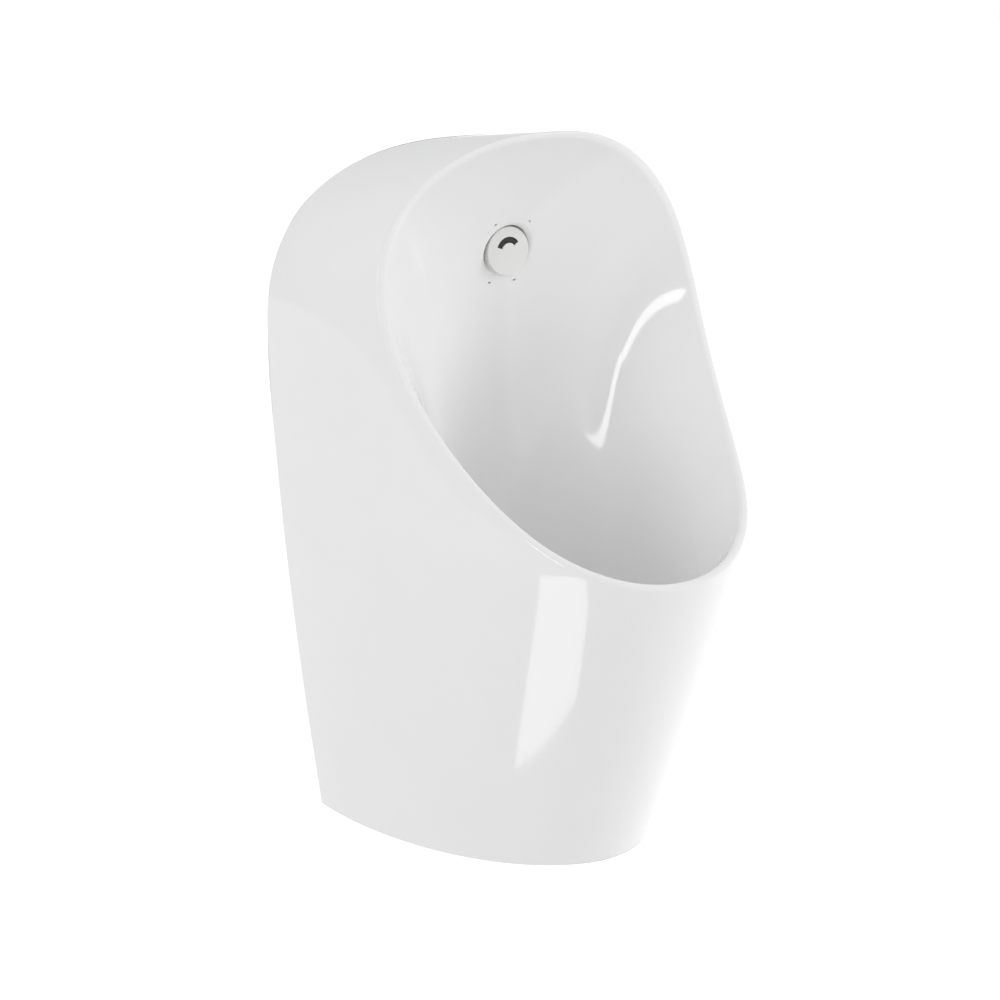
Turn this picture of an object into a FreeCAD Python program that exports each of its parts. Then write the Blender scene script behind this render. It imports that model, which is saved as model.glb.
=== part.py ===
import FreeCAD, Part
import math
import os
import re

import Sketcher

# Wall hung urinal. X runs to the right, -Y towards the user and +Z up. The wall plane is y = 0 and
# the origin lies midway between the two hanger holes. Heights in the sizes below are measured from
# the bottom edge of the ceramic, and depths from the wall plane towards the user.

Vector = FreeCAD.Vector

SIZES = [
    # Ceramic, outer skin
    ("body_height", 600.0, "bottom edge to the top of the rim"),
    ("half_width", 187.7, "at the wall plane, where the arch springs"),
    ("foot_half_width", 147.5, "at the wall plane, bottom edge"),
    ("side_taper_power", 1.55, "how late the sides draw in towards the foot"),
    ("arch_spring_height", 436.8, "where the sides turn into the arch"),
    ("arch_power", 2.4, "superellipse power of the arch"),
    ("crown_slope", 0.127, "rise of the arch's ridge for each millimetre towards the user"),
    ("crown_depth", 136.3, "depth of the rim's highest point"),
    ("foot_depth", 234.6, "depth of the bottom edge at the middle"),
    ("front_lean", 0.348, "how much the front comes forward for each millimetre up"),
    ("neck_depth", 219.6, "depth that the skin aims at behind the upper rim"),
    ("shoulder_lean", 0.619, "how much the skin falls back for each millimetre up, above the lip"),
    ("shoulder_height", 491.0, "where the skin stops falling back"),
    ("foot_plan_power", 1.884, "superellipse power of the plan at the foot"),
    ("lip_plan_power", 2.06, "superellipse power of the plan at the lip"),
    # Ceramic, rim
    ("lip_depth", 328.8, "depth of the lip"),
    ("lip_height", 267.0, "height of the lip"),
    ("throat_depth", 118.6, "least depth of the rim, seen from the side"),
    ("throat_height", 539.1, "height of that least depth"),
    ("swoop_power", 2.14, "how the rim sweeps from the throat to the lip"),
    ("rim_land", 6.5, "width of the rim's edge"),
    ("rim_round", 2.0, "fillet along both edges of the rim"),
    ("wall_thickness", 10.0, "ceramic wall"),
    # Ceramic, bowl
    ("sump_height", 150.0, "floor of the bowl"),
    ("sump_depth", 170.0, "centre of the outlet, from the wall"),
    ("sump_radius", 50.0, "flat floor round the outlet"),
    ("sump_thickness", 14.0, "ceramic under the floor"),
    ("lip_reach", 85.0, "how far the bowl follows the front wall down from the lip"),
    ("crown_reach", 165.0, "how far the bowl runs down from the top of the rim"),
    ("lip_fall", 88.0, "angle between the rim's edge and the bowl at the lip, in degrees"),
    ("crown_fall", 16.0, "the same angle at the top of the rim"),
    ("fall_power", 1.22, "how fast that angle changes round the rim"),
    ("floor_reach_front", 40.0, "how flat the floor is towards the lip"),
    ("floor_reach_back", 75.0, "how flat the floor is towards the back wall"),
    ("floor_reach_side", 15.0, "extra reach of the floor at the sides"),
    ("floor_slope", 0.12, "fall of the floor towards the outlet"),
    # Ceramic, hidden back
    ("web_front", 30.0, "depth of the front face of the hanging web"),
    ("web_thickness", 12.0, "hanging web"),
    ("web_bottom", 440.0, "lower edge of the hanging web"),
    # Spray head and water inlet
    ("inlet_height", 495.0, "axis of the spray head"),
    ("seat_depth", 71.0, "front seat of the spray head, from the wall"),
    ("seat_thickness", 12.0, "ceramic clamped by the spray head"),
    ("seat_radius", 22.0, "flat seat round the spray head"),
    ("seat_rim", 8.0, "extra radius of the thicker wall round the seat"),
    ("stem_radius", 11.0, "threaded stem of the spray head"),
    ("stem_end", 32.0, "depth of the stem's rear end"),
    ("stem_bore", 6.0, "water way"),
    ("stem_clearance", 1.5, "ceramic hole round the stem"),
    ("flange_radius", 18.5, "spray body flange"),
    ("flange_thickness", 2.0, "spray body flange"),
    ("gasket_thickness", 1.5, "rubber rings of the spray head"),
    ("pipe_step", 0.5, "extra radius of a pipe where it enters the wall"),
    ("fit_gap", 0.1, "play of a turned fit, on the radius"),
    ("loose_gap", 0.3, "play of a part that lifts or pulls off, on the radius"),
    ("cap_radius", 20.5, "spray cap"),
    ("cap_depth", 8.5, "spray cap, edge to crown"),
    ("cap_wall", 1.4, "side wall of the spray cap"),
    ("cap_roof", 2.4, "front of the spray cap"),
    ("cap_dome_radius", 150.0, "crown of the cap"),
    ("cap_edge_round", 2.0, "edge of the cap's front"),
    ("slot_radius", 9.5, "middle line of the curved slot"),
    ("slot_width", 5.2, "curved slot"),
    ("slot_angle", 125.0, "sweep of the curved slot, in degrees"),
    ("slot_turn", 9.0, "how far the slot is turned to the left, in degrees"),
    ("slot_gap", 0.25, "play of the nozzle ridge in the slot"),
    ("nozzle_plate", 1.2, "plate of the nozzle behind the cap"),
    ("nozzle_radius", 17.0, "plate of the nozzle behind the cap"),
    ("spray_nut_flats", 36.0, "across flats"),
    ("spray_nut_height", 8.0, "lock nut behind the ceramic"),
    ("inlet_pipe_radius", 16.0, "flush pipe, outside"),
    ("inlet_pipe_wall", 1.6, "flush pipe"),
    ("inlet_pipe_front", 47.0, "depth of the flush pipe's front end"),
    ("inlet_pipe_in_wall", 25.0, "flush pipe beyond the wall plane"),
    ("sleeve_length", 14.0, "rubber sleeve between stem and flush pipe"),
    ("sleeve_lip", 2.0, "rubber lip in front of the flush pipe"),
    ("grommet_width", 7.0, "rubber ring round a pipe at the wall"),
    ("grommet_length", 8.0, "rubber ring round a pipe at the wall"),
    # Outlet
    ("outlet_hole_radius", 27.0, "hole through the ceramic floor"),
    ("recess_radius", 43.0, "recess in the floor"),
    ("recess_depth", 4.0, "recess in the floor"),
    ("tail_radius", 24.0, "threaded tail of the waste fitting"),
    ("tail_bore", 20.0, "radius of the water way"),
    ("tail_length", 50.0, "below the waste flange"),
    ("waste_flange_radius", 41.0, "waste fitting"),
    ("waste_flange_thickness", 2.5, "waste fitting"),
    ("waste_gasket_thickness", 1.5, "rubber ring in the recess"),
    ("strainer_seat_depth", 1.2, "step that the strainer lies in"),
    ("strainer_radius", 34.7, "perforated disc"),
    ("strainer_thickness", 1.2, "perforated disc"),
    ("strainer_hole_radius", 2.5, "perforation"),
    ("strainer_inner_ring", 9.0, "radius of the inner ring of holes"),
    ("strainer_outer_ring", 25.5, "radius of the outer ring of holes"),
    ("strainer_inner_holes", 6.0, "number of holes"),
    ("strainer_outer_holes", 14.0, "number of holes"),
    ("strainer_collar_radius", 18.0, "collar that centres the strainer in the tail"),
    ("strainer_collar_length", 10.0, "collar that centres the strainer in the tail"),
    ("strainer_collar_wall", 1.2, "collar that centres the strainer in the tail"),
    ("under_gasket_thickness", 3.0, "rubber ring under the ceramic"),
    ("under_gasket_radius", 37.0, "rubber ring under the ceramic"),
    ("waste_nut_flats", 66.0, "across flats"),
    ("waste_nut_height", 9.0, "nut under the ceramic"),
    # Trap
    ("union_seal_thickness", 3.0, "ring between the tail and the dip tube"),
    ("union_nut_radius", 31.0, "nut that holds the trap to the tail"),
    ("union_nut_height", 20.0, "nut that holds the trap to the tail"),
    ("union_nut_floor", 3.0, "inner flange of that nut"),
    ("union_rib_radius", 2.2, "grip ribs of the nuts and the cup"),
    ("union_ribs", 12.0, "number of grip ribs"),
    ("collar_radius", 23.5, "collar of the trap neck and of the dip tube"),
    ("dip_collar_thickness", 1.5, "collar of the dip tube"),
    ("neck_collar_thickness", 3.5, "collar of the trap neck"),
    ("neck_radius", 20.0, "trap neck, outside"),
    ("dip_tube_radius", 16.5, "dip tube, outside"),
    ("dip_tube_wall", 2.0, "dip tube"),
    ("dip_tube_end", 40.0, "height of the lower end of the dip tube"),
    ("trap_radius", 38.0, "trap body, outside"),
    ("trap_wall", 3.0, "trap body"),
    ("trap_roof_height", 86.0, "top of the trap body"),
    ("trap_foot_height", 22.0, "lower end of the trap body"),
    ("cup_wall", 4.8, "cleaning cup"),
    ("cup_floor", 4.0, "cleaning cup"),
    ("cup_bottom", 8.0, "height of the underside of the cleaning cup"),
    ("cup_overlap", 12.0, "thread between cup and trap body"),
    ("cup_gasket_thickness", 3.0, "rubber ring in the cup"),
    ("cup_gasket_width", 4.0, "rubber ring in the cup"),
    # Waste pipe
    ("waste_axis_height", 66.0, "axis of the waste pipe"),
    ("waste_pipe_radius", 25.0, "waste pipe, outside"),
    ("waste_pipe_wall", 1.8, "waste pipe"),
    ("waste_pipe_in_wall", 40.0, "waste pipe beyond the wall plane"),
    ("socket_radius", 29.0, "socket on the trap, outside"),
    ("socket_front", 134.0, "depth of the socket's front end"),
    ("socket_stop", 4.0, "shoulder at the bottom of the socket"),
    ("socket_length", 22.0, "socket on the trap"),
    ("socket_bore", 20.0, "hole between socket and trap"),
    ("pipe_seal_length", 6.0, "rubber ring at the mouth of the socket"),
    ("pipe_nut_radius", 34.0, "nut on the socket"),
    ("pipe_nut_overlap", 12.0, "thread between nut and socket"),
    ("pipe_nut_floor", 4.0, "inner flange of the nut on the socket"),
    # Fixings
    ("hanger_height", 480.0, "axis of the hanger holes"),
    ("hanger_spacing", 230.0, "between the hanger holes"),
    ("hanger_hole_radius", 5.5, "hole for the wall's stud"),
    ("hanger_width", 40.0, "hanger bracket"),
    ("hanger_steel", 4.0, "thickness of the hanger bracket"),
    ("hanger_drop", 20.0, "bracket below the hole"),
    ("hanger_rise", 20.0, "hole to the top of the tongue"),
    ("tongue_reach", 38.0, "tongue, from the wall"),
    ("tongue_hook", 14.0, "upturned end of the tongue"),
    ("pad_thickness", 2.5, "saddle between tongue and ceramic"),
    ("pad_overhang", 2.0, "saddle beyond the web, front and back"),
    ("slot_side_play", 6.0, "ceramic slot beside the tongue"),
    ("slot_height", 38.0, "ceramic slot"),
    ("lower_height", 45.0, "axis of the lower studs"),
    ("lower_spacing", 236.0, "between the lower studs"),
    ("lower_hole_spacing", 184.0, "between the lower wall holes"),
    ("lower_hole_radius", 4.5, "hole for the wall's screw"),
    ("lower_plate_height", 30.0, "lower wall plate"),
    ("lower_plate_edge", 12.0, "lower wall plate, beyond the hole and the stud"),
    ("lug_depth", 34.0, "front face of the ceramic lug"),
    ("lug_thickness", 12.0, "ceramic lug"),
    ("lug_half_height", 20.0, "ceramic lug"),
    ("lug_inner_edge", 13.0, "ceramic lug, from the stud towards the middle"),
    ("lug_hole_radius", 5.5, "hole through the ceramic lug"),
    ("stud_radius", 4.0, "lower stud"),
    ("stud_length", 50.0, "lower stud, from the wall"),
    ("spacer_radius", 8.0, "rubber spacer round the lower stud"),
    ("washer_radius", 12.0, "washer in front of the ceramic lug"),
    ("washer_thickness", 2.0, "washer in front of the ceramic lug"),
    ("nut_flats", 13.0, "across flats of the lower nut"),
    ("nut_height", 6.5, "lower nut"),
]

# Shares and counts that set how finely the free-form ceramic is described
AROUND = 32
SKIN_STATIONS = 11
BOWL_STATIONS = 9
SKIN_BLEND = 12.0
SHOULDER_BLEND = 20.0
EDGE_MARGIN = 12.0
RIM_LEAD = 8.0
BLOCK = 400.0
TILT_DEPTH = 0.88
TILT_HEIGHT = -0.475

doc = FreeCAD.newDocument("urinal")
sheet = doc.addObject("Spreadsheet::Sheet", "Sizes")
for row, (alias, value, note) in enumerate(SIZES, start=1):
    sheet.set("A%d" % row, alias)
    sheet.set("B%d" % row, str(value))
    sheet.set("C%d" % row, note)
    sheet.setAlias("B%d" % row, alias)
doc.recompute()


def size(alias):
    """A driving dimension, read from the sheet."""
    return float(getattr(sheet, alias))


def formula(text):
    """The text of an expression, with every dimension pointed at the sheet."""
    return re.sub(r"\b([a-z][a-z_]*[a-z])\b(?!\()", r"Sizes.\1", text)


def worked_out(text):
    """The present value of an expression."""
    return float(sheet.evalExpression(formula(text)))


# ---------------------------------------------------------------------------------------------
# Free-form ceramic: the skin, the rim and the bowl follow formulas
# ---------------------------------------------------------------------------------------------


def soft_positive(value, width):
    """The value where it is positive and zero where it is negative, with a soft turn."""
    share = value / width
    return width * (max(share, 0.0) + math.log1p(math.exp(-abs(share))))


def soft_least(first, second, width):
    """The lesser of two values, with a soft turn."""
    return first - soft_positive(first - second, width)


def skin_depth(height, inset):
    """Depth of the skin at the middle."""
    front = size("foot_depth") + size("front_lean") * height
    above = soft_positive(size("shoulder_height") - height, SHOULDER_BLEND)
    shoulder = size("neck_depth") + size("shoulder_lean") * above
    return soft_least(front, shoulder, SKIN_BLEND) - inset


def skin_half_width(height, inset):
    """Half width of the skin at the wall plane, below the arch."""
    spring = size("arch_spring_height")
    taper = (max(spring - height, 0.0) / spring) ** size("side_taper_power")
    return size("half_width") - (size("half_width") - size("foot_half_width")) * taper - inset


def skin_level(point, inset=0.0):
    """One on the skin, less inside it and more outside it."""
    depth = -point.y
    spring = size("arch_spring_height")
    crown = size("body_height") + size("crown_slope") * (depth - size("crown_depth")) - inset
    climb = max(point.z - spring, 0.0) / (crown - spring)
    if climb >= 1.0:
        return 2.0
    power = size("arch_power")
    arch = (1.0 - climb ** power) ** (1.0 / power)
    share = min(max(point.z / size("lip_height"), 0.0), 1.0)
    plan = size("foot_plan_power") + (size("lip_plan_power") - size("foot_plan_power")) * share
    across = abs(point.x) / (skin_half_width(point.z, inset) * arch)
    return across ** plan + (abs(depth) / skin_depth(point.z, inset)) ** plan


def rim_depth(height):
    """Depth of the rim, seen from the side."""
    throat = size("throat_height")
    below = max((throat - height) / (throat - size("lip_height")), 0.0)
    above = max((height - throat) / (size("body_height") - throat), 0.0)
    sweep = (size("lip_depth") - size("throat_depth")) * below ** size("swoop_power")
    return size("throat_depth") + sweep + (size("crown_depth") - size("throat_depth")) * above ** 2


def on_rim(across, height):
    """The point of the rim's surface with that x and z."""
    return Vector(across, -rim_depth(height), height)


def last_inside(start, stride, is_inside, reach=4.0):
    """The furthest multiple of the stride from the start that is still inside."""
    inside, outside = 0.0, reach
    for _ in range(48):
        middle = (inside + outside) / 2.0
        if is_inside(start + stride * middle):
            inside = middle
        else:
            outside = middle
    return inside


TILT = Vector(0.0, TILT_DEPTH, TILT_HEIGHT)
TILT.normalize()
UP_THE_RIM = Vector(0.0, -TILT.z, TILT.y)


def skin_station(offset, inset):
    """Points round the skin in one plane that lies parallel to the mouth of the bowl."""
    origin = TILT * offset
    scan = [origin + UP_THE_RIM * step for step in range(-600, 1100, 5)]
    inside = [point for point in scan if skin_level(point, inset) < 1.0]
    centre = (inside[0] + inside[-1]) * 0.5
    tall = (inside[-1] - inside[0]).Length / 2.0
    points = []
    for number in range(AROUND):
        turn = 2.0 * math.pi * number / AROUND
        stride = Vector(size("foot_half_width") * math.sin(turn), 0, 0) - UP_THE_RIM * (tall * math.cos(turn))
        reach = last_inside(centre, stride, lambda point: skin_level(point, inset) < 1.0)
        points.append(centre + stride * reach)
    return points


def skinned_solid(stations):
    """A closed solid through rows of points, capped flat at its first and last row."""
    around = [number / AROUND for number in range(AROUND + 1)]
    rings = []
    for points in stations:
        ring = Part.BSplineCurve()
        ring.interpolate(Points=points, PeriodicFlag=True, Parameters=around)
        rings.append(ring)
    along = [0.0]
    for before, after in zip(stations, stations[1:]):
        steps = [start.distanceToPoint(end) for start, end in zip(before, after)]
        along.append(along[-1] + sum(steps) / len(steps))
    along = [step / along[-1] for step in along]
    ribs = []
    for pole in range(1, rings[0].NbPoles + 1):
        rib = Part.BSplineCurve()
        rib.interpolate(Points=[ring.getPole(pole) for ring in rings], Parameters=along)
        ribs.append(rib)
    surface = Part.BSplineSurface()
    surface.buildFromPolesMultsKnots(
        [rib.getPoles() for rib in ribs],
        rings[0].getMultiplicities(), ribs[0].getMultiplicities(),
        rings[0].getKnots(), ribs[0].getKnots(),
        True, False, rings[0].Degree, ribs[0].Degree)
    caps = [Part.Face(Part.Wire([ring.toShape()])) for ring in (rings[0], rings[-1])]
    shell = Part.makeShell([surface.toShape()] + caps)
    shell.sewShape()
    solid = Part.makeSolid(shell)
    if solid.Volume < 0.0:
        solid.reverse()
    return solid


def skin_solid(inset=0.0):
    """The outer form, from in front of the mouth to behind the wall plane."""
    mouth = min(TILT.dot(on_rim(0.0, size("lip_height"))), TILT.dot(on_rim(0.0, size("body_height"))))
    first = mouth + EDGE_MARGIN + 4.0
    step = (EDGE_MARGIN - first) / (SKIN_STATIONS - 1)
    stations = [skin_station(first + step * number, inset) for number in range(SKIN_STATIONS)]
    beyond = [near * 2.0 - far for near, far in zip(stations[0], stations[1])]
    return skinned_solid([beyond] + stations)


def rim_point(turn):
    """The outer edge of the rim, at an angle round the mouth from the lip."""
    lip, top = size("lip_height"), size("body_height")
    middle = on_rim(0.0, (lip + top) / 2.0)
    stride = Vector(size("foot_half_width") * math.sin(turn), 0, -math.cos(turn) * (top - lip) / 2.0)

    def is_inside(point):
        return skin_level(on_rim(point.x, point.z)) < 1.0

    point = middle + stride * last_inside(middle, stride, is_inside, 1.6)
    return on_rim(point.x, point.z)


def rim_inner(turn):
    """The inner edge of the rim, with the ways across the rim and into the body there."""
    here = rim_point(turn)
    along = rim_point(turn + 0.01) - rim_point(turn - 0.01)
    up = on_rim(0.0, here.z + 0.5) - on_rim(0.0, here.z - 0.5)
    behind = up.cross(Vector(1, 0, 0))
    behind.normalize()
    across = along.cross(behind)
    across.normalize()
    if across.dot(on_rim(0.0, (size("lip_height") + size("body_height")) / 2.0) - here) < 0.0:
        across = across * -1.0
    moved = here + across * size("rim_land")
    return on_rim(moved.x, moved.z), across, behind


def bowl_rib(turn):
    """One rib of the bowl: the four points of its curve, and two points that lead it on past the rim."""
    height_share = (1.0 - math.cos(turn)) / 2.0
    side_share = math.sin(turn) ** 2
    start, across, behind = rim_inner(turn)
    fall_share = (1.0 - height_share) ** size("fall_power")
    fall = math.radians(size("crown_fall") + (size("lip_fall") - size("crown_fall")) * fall_share)
    inward = across * math.cos(fall) + behind * math.sin(fall)
    reach = size("lip_reach") + (size("crown_reach") - size("lip_reach")) * height_share
    radial = Vector(math.sin(turn), -math.cos(turn), 0.0)
    floor_reach = size("floor_reach_front") + size("floor_reach_side") * side_share
    floor_reach += (size("floor_reach_back") - size("floor_reach_front")) * height_share
    end = Vector(0.0, -size("sump_depth"), size("sump_height")) + radial * size("sump_radius")
    last = end + (radial + Vector(0, 0, size("floor_slope"))) * floor_reach
    before = start - inward * RIM_LEAD
    return before, behind, (start, start + inward * reach, last, end)


def on_rib(curve, share):
    """A point along the four-point curve of a rib."""
    left = 1.0 - share
    return (curve[0] * left ** 3 + curve[1] * (3.0 * left * left * share)
            + curve[2] * (3.0 * left * share * share) + curve[3] * share ** 3)


def bowl_solid(growth=0.0):
    """The hollow of the bowl, or with growth the same form one wall larger."""
    ribs = [bowl_rib(2.0 * math.pi * number / AROUND) for number in range(AROUND)]
    mouth = min(TILT.dot(before) for before, _, _ in ribs) - 2.0 * EDGE_MARGIN
    stations = [[before - TILT * (TILT.dot(before) - mouth) for before, _, _ in ribs],
                [before for before, _, _ in ribs]]
    for number in range(BOWL_STATIONS):
        share = number / (BOWL_STATIONS - 1)
        stations.append([on_rib(curve, share) for _, _, curve in ribs])
    if growth == 0.0:
        return skinned_solid(stations)
    grown = []
    for row, ring in enumerate(stations):
        before, after = stations[max(row - 1, 0)], stations[min(row + 1, len(stations) - 1)]
        new_ring = []
        for number, point in enumerate(ring):
            around = ring[(number + 1) % AROUND] - ring[number - 1]
            outward = (after[number] - before[number]).cross(around)
            outward.normalize()
            new_ring.append(point + outward * growth)
        grown.append(new_ring)
    grown[0] = [point - TILT * (TILT.dot(point) - mouth) for point in grown[0]]
    centre = Vector(0.0, -size("sump_depth"), size("sump_height"))
    wider = (size("sump_radius") + growth) / size("sump_radius")
    sunk = Vector(0, 0, size("sump_thickness"))
    grown[-1] = [centre + (point - centre) * wider - sunk for point in stations[-1]]
    return skinned_solid(grown)


def rim_cutter():
    """Everything in front of the rim's swept surface."""
    low, high = size("lip_height") - 40.0, size("body_height") + 60.0
    heights = [low + (high - low) * number / 24.0 for number in range(25)]
    side = Vector(-BLOCK, 0, 0)
    sweep = Part.BSplineCurve()
    sweep.interpolate([on_rim(0.0, height) + side for height in heights])
    start, end = on_rim(0.0, low) + side, on_rim(0.0, high) + side
    far_low = Vector(-BLOCK, -2.0 * BLOCK, low)
    far_high = Vector(-BLOCK, -2.0 * BLOCK, high)
    outline = Part.Wire([sweep.toShape(), Part.makeLine(end, far_high),
                         Part.makeLine(far_high, far_low), Part.makeLine(far_low, start)])
    return Part.Face(outline).extrude(Vector(2.0 * BLOCK, 0, 0))


def block(low, high):
    """A box between two corners."""
    return Part.makeBox(high.x - low.x, high.y - low.y, high.z - low.z, low)


def ceramic_blank():
    """The cast and glazed body, before its holes and seats are made."""
    front_block = block(Vector(-BLOCK, -BLOCK, 0), Vector(BLOCK, 0, 2.0 * BLOCK))
    seat_centre = Vector(0, -size("seat_depth"), size("inlet_height"))
    boss = Part.makeCylinder(size("seat_radius"), size("seat_thickness"), seat_centre, Vector(0, 1, 0))
    rear_centre = seat_centre + Vector(0, size("seat_thickness"), 0)
    rear_length = size("seat_depth") - size("seat_thickness") - size("web_front")
    rear_seat = Part.makeCylinder(size("seat_radius"), rear_length, rear_centre, Vector(0, 1, 0))
    facing = Part.makeCylinder(size("seat_radius"), 2.0 * size("seat_radius"), seat_centre, Vector(0, -1, 0))
    thicker = Part.makeCylinder(size("seat_radius") + size("seat_rim"), 3.0 * size("seat_thickness"),
                                rear_centre, Vector(0, -1, 0))
    body = skin_solid().common(front_block).cut(rim_cutter()).cut(bowl_solid().cut(boss)).cut(facing)
    hollow = skin_solid(size("wall_thickness"))
    hollow = hollow.common(block(Vector(-BLOCK, -BLOCK, -20), Vector(BLOCK, 20, 2.0 * BLOCK)))
    hollow = hollow.cut(bowl_solid(size("wall_thickness")).cut(rear_seat)).cut(thicker)
    web_back = size("web_thickness") - size("web_front")
    hollow = hollow.cut(block(Vector(-BLOCK, -size("web_front"), size("web_bottom")),
                              Vector(BLOCK, web_back, 2.0 * BLOCK)))
    for side in (-1, 1):
        stud = side * size("lower_spacing") / 2.0
        near, far = stud - side * size("lug_inner_edge"), stud + side * BLOCK
        hollow = hollow.cut(block(
            Vector(min(near, far), -size("lug_depth"), size("lower_height") - size("lug_half_height")),
            Vector(max(near, far), size("lug_thickness") - size("lug_depth"),
                   size("lower_height") + size("lug_half_height"))))
    hollow = max(hollow.Solids, key=lambda solid: solid.Volume)
    body = body.cut(hollow)
    body = max(body.Solids, key=lambda solid: solid.Volume)
    front_edges = [edge for edge in body.Edges
                   if edge.BoundBox.YMax < -size("throat_depth") / 2.0
                   and edge.BoundBox.ZMin > size("lip_height") - size("rim_land")
                   and edge.BoundBox.ZMax > size("throat_height")
                   and edge.BoundBox.XLength > size("half_width")]
    return body.makeFillet(size("rim_round"), front_edges)


# ---------------------------------------------------------------------------------------------
# Ways to make a sub-part
# ---------------------------------------------------------------------------------------------

FORWARD = FreeCAD.Rotation(Vector(1, 0, 0), 90)
UPRIGHT = FreeCAD.Rotation()


def put(thing, place, rotation=UPRIGHT):
    """Places a sub-part: x, y and height are formulas, and height is above the bottom edge."""
    thing.Placement = FreeCAD.Placement(Vector(0, 0, 0), rotation)
    thing.setExpression(".Placement.Base.x", formula(place[0]))
    thing.setExpression(".Placement.Base.y", formula(place[1]))
    thing.setExpression(".Placement.Base.z", formula("%s - hanger_height" % place[2]))
    return thing


def plane_of(body, role):
    """One of a body's own origin planes."""
    return next(plane for plane in body.Origin.OriginFeatures if plane.Role == role)


def outline_sketch(body, plane, outlines=(), circles=()):
    """Closed outlines of formula points, and circles of (x, y, radius)."""
    sketch = body.newObject("Sketcher::SketchObject", "sketch")
    sketch.AttachmentSupport = [(plane_of(body, plane), "")]
    sketch.MapMode = "FlatFace"

    def hold(kind, geometry, point, text):
        number = sketch.addConstraint(Sketcher.Constraint(kind, -1, 1, geometry, point, worked_out(text)))
        sketch.setExpression("Constraints[%d]" % number, formula(text))

    for outline in outlines:
        corners = [Vector(worked_out(across), worked_out(up), 0) for across, up in outline]
        first = sketch.GeometryCount
        for corner, after in zip(corners, corners[1:] + corners[:1]):
            sketch.addGeometry(Part.LineSegment(corner, after), False)
        count = len(corners)
        for number in range(count):
            following = first + (number + 1) % count
            sketch.addConstraint(Sketcher.Constraint("Coincident", first + number, 2, following, 1))
        for number, (across, up) in enumerate(outline):
            hold("DistanceX", first + number, 1, across)
            hold("DistanceY", first + number, 1, up)
    for across, up, radius in circles:
        centre = Vector(worked_out(across), worked_out(up), 0)
        circle = sketch.addGeometry(Part.Circle(centre, Vector(0, 0, 1), worked_out(radius)), False)
        hold("DistanceX", circle, 3, across)
        hold("DistanceY", circle, 3, up)
        number = sketch.addConstraint(Sketcher.Constraint("Radius", circle, worked_out(radius)))
        sketch.setExpression("Constraints[%d]" % number, formula(radius))
    return sketch


def turned(label, outline, place, rotation=UPRIGHT):
    """A turned sub-part: (radius, height) formulas, revolved about the body's Z axis."""
    body = doc.addObject("PartDesign::Body", label)
    body.Label = label
    sketch = outline_sketch(body, "XZ_Plane", [outline])
    revolution = body.newObject("PartDesign::Revolution", "revolution")
    revolution.Profile = sketch
    revolution.ReferenceAxis = (sketch, ["V_Axis"])
    revolution.Angle = 360
    return put(body, place, rotation)


def ring(label, inner, outer, low, high, place, rotation=UPRIGHT):
    """A plain ring between two radii and two heights."""
    return turned(label, [(inner, low), (outer, low), (outer, high), (inner, high)], place, rotation)


def stepped_pipe(label, radius, bore, in_wall, front, place):
    """A pipe that is a little thicker where it enters the wall's socket."""
    turned(label, [
        (bore, "-(%s)" % in_wall), (radius, "-(%s)" % in_wall), (radius, "0"),
        ("%s - pipe_step" % radius, "0"), ("%s - pipe_step" % radius, front), (bore, front),
    ], place, FORWARD)


def padded(body, sketch, length):
    """Material added along the sketch's normal."""
    pad = body.newObject("PartDesign::Pad", "pad")
    pad.Profile = sketch
    pad.setExpression("Length", formula(length))
    return pad


def drilled(body, plane, circles):
    """Holes right through the body."""
    pocket = body.newObject("PartDesign::Pocket", "pocket")
    pocket.Profile = outline_sketch(body, plane, circles=circles)
    pocket.Type = "ThroughAll"
    pocket.Midplane = True
    return pocket


def hexagon(flats):
    """Corners of a hexagon with that distance across flats."""
    corners = []
    for number in range(6):
        turn = math.pi * number / 3.0
        corners.append(("%s * %.6f" % (flats, math.cos(turn) / math.sqrt(3.0)),
                        "%s * %.6f" % (flats, math.sin(turn) / math.sqrt(3.0))))
    return corners


def hex_nut(label, flats, bore, height, place, rotation=UPRIGHT):
    """A plain hexagon nut, standing on its origin."""
    body = doc.addObject("PartDesign::Body", label)
    body.Label = label
    padded(body, outline_sketch(body, "XY_Plane", [hexagon(flats)], [("0", "0", bore)]), height)
    return put(body, place, rotation)


def with_ribs(body, radius, low, height):
    """Grip ribs round a turned sub-part: half-sunk rods from one height up."""
    rod_sketch = outline_sketch(body, "XY_Plane", circles=[(radius, "0", "union_rib_radius")])
    rod_sketch.AttachmentOffset = FreeCAD.Placement(Vector(0, 0, worked_out(low)), FreeCAD.Rotation())
    rod_sketch.setExpression(".AttachmentOffset.Base.z", formula(low))
    rod = padded(body, rod_sketch, height)
    doc.recompute()
    pattern = body.newObject("PartDesign::PolarPattern", "pattern")
    pattern.Originals = [rod]
    pattern.Axis = (rod_sketch, ["N_Axis"])
    pattern.Angle = 360
    pattern.setExpression("Occurrences", formula("union_ribs"))
    body.Tip = pattern
    return body


def part_box(name, low, lengths):
    """A box whose corner and lengths are formulas, with heights above the bottom edge."""
    box = doc.addObject("Part::Box", name)
    for prop, text in zip(("Length", "Width", "Height"), lengths):
        box.setExpression(prop, formula(text))
    return put(box, low)


def part_cylinder(name, radius, height, place, rotation=UPRIGHT):
    """A cylinder standing on its place."""
    cylinder = doc.addObject("Part::Cylinder", name)
    cylinder.setExpression("Radius", formula(radius))
    cylinder.setExpression("Height", formula(height))
    return put(cylinder, place, rotation)


def joined(kind, name, base, tools):
    """Part booleans, one after the other."""
    for number, tool in enumerate(tools):
        result = doc.addObject("Part::%s" % kind, "%s_%d" % (name, number))
        result.Base = base
        result.Tool = tool
        base = result
    return base


# ---------------------------------------------------------------------------------------------
# Ceramic body
# ---------------------------------------------------------------------------------------------

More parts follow.
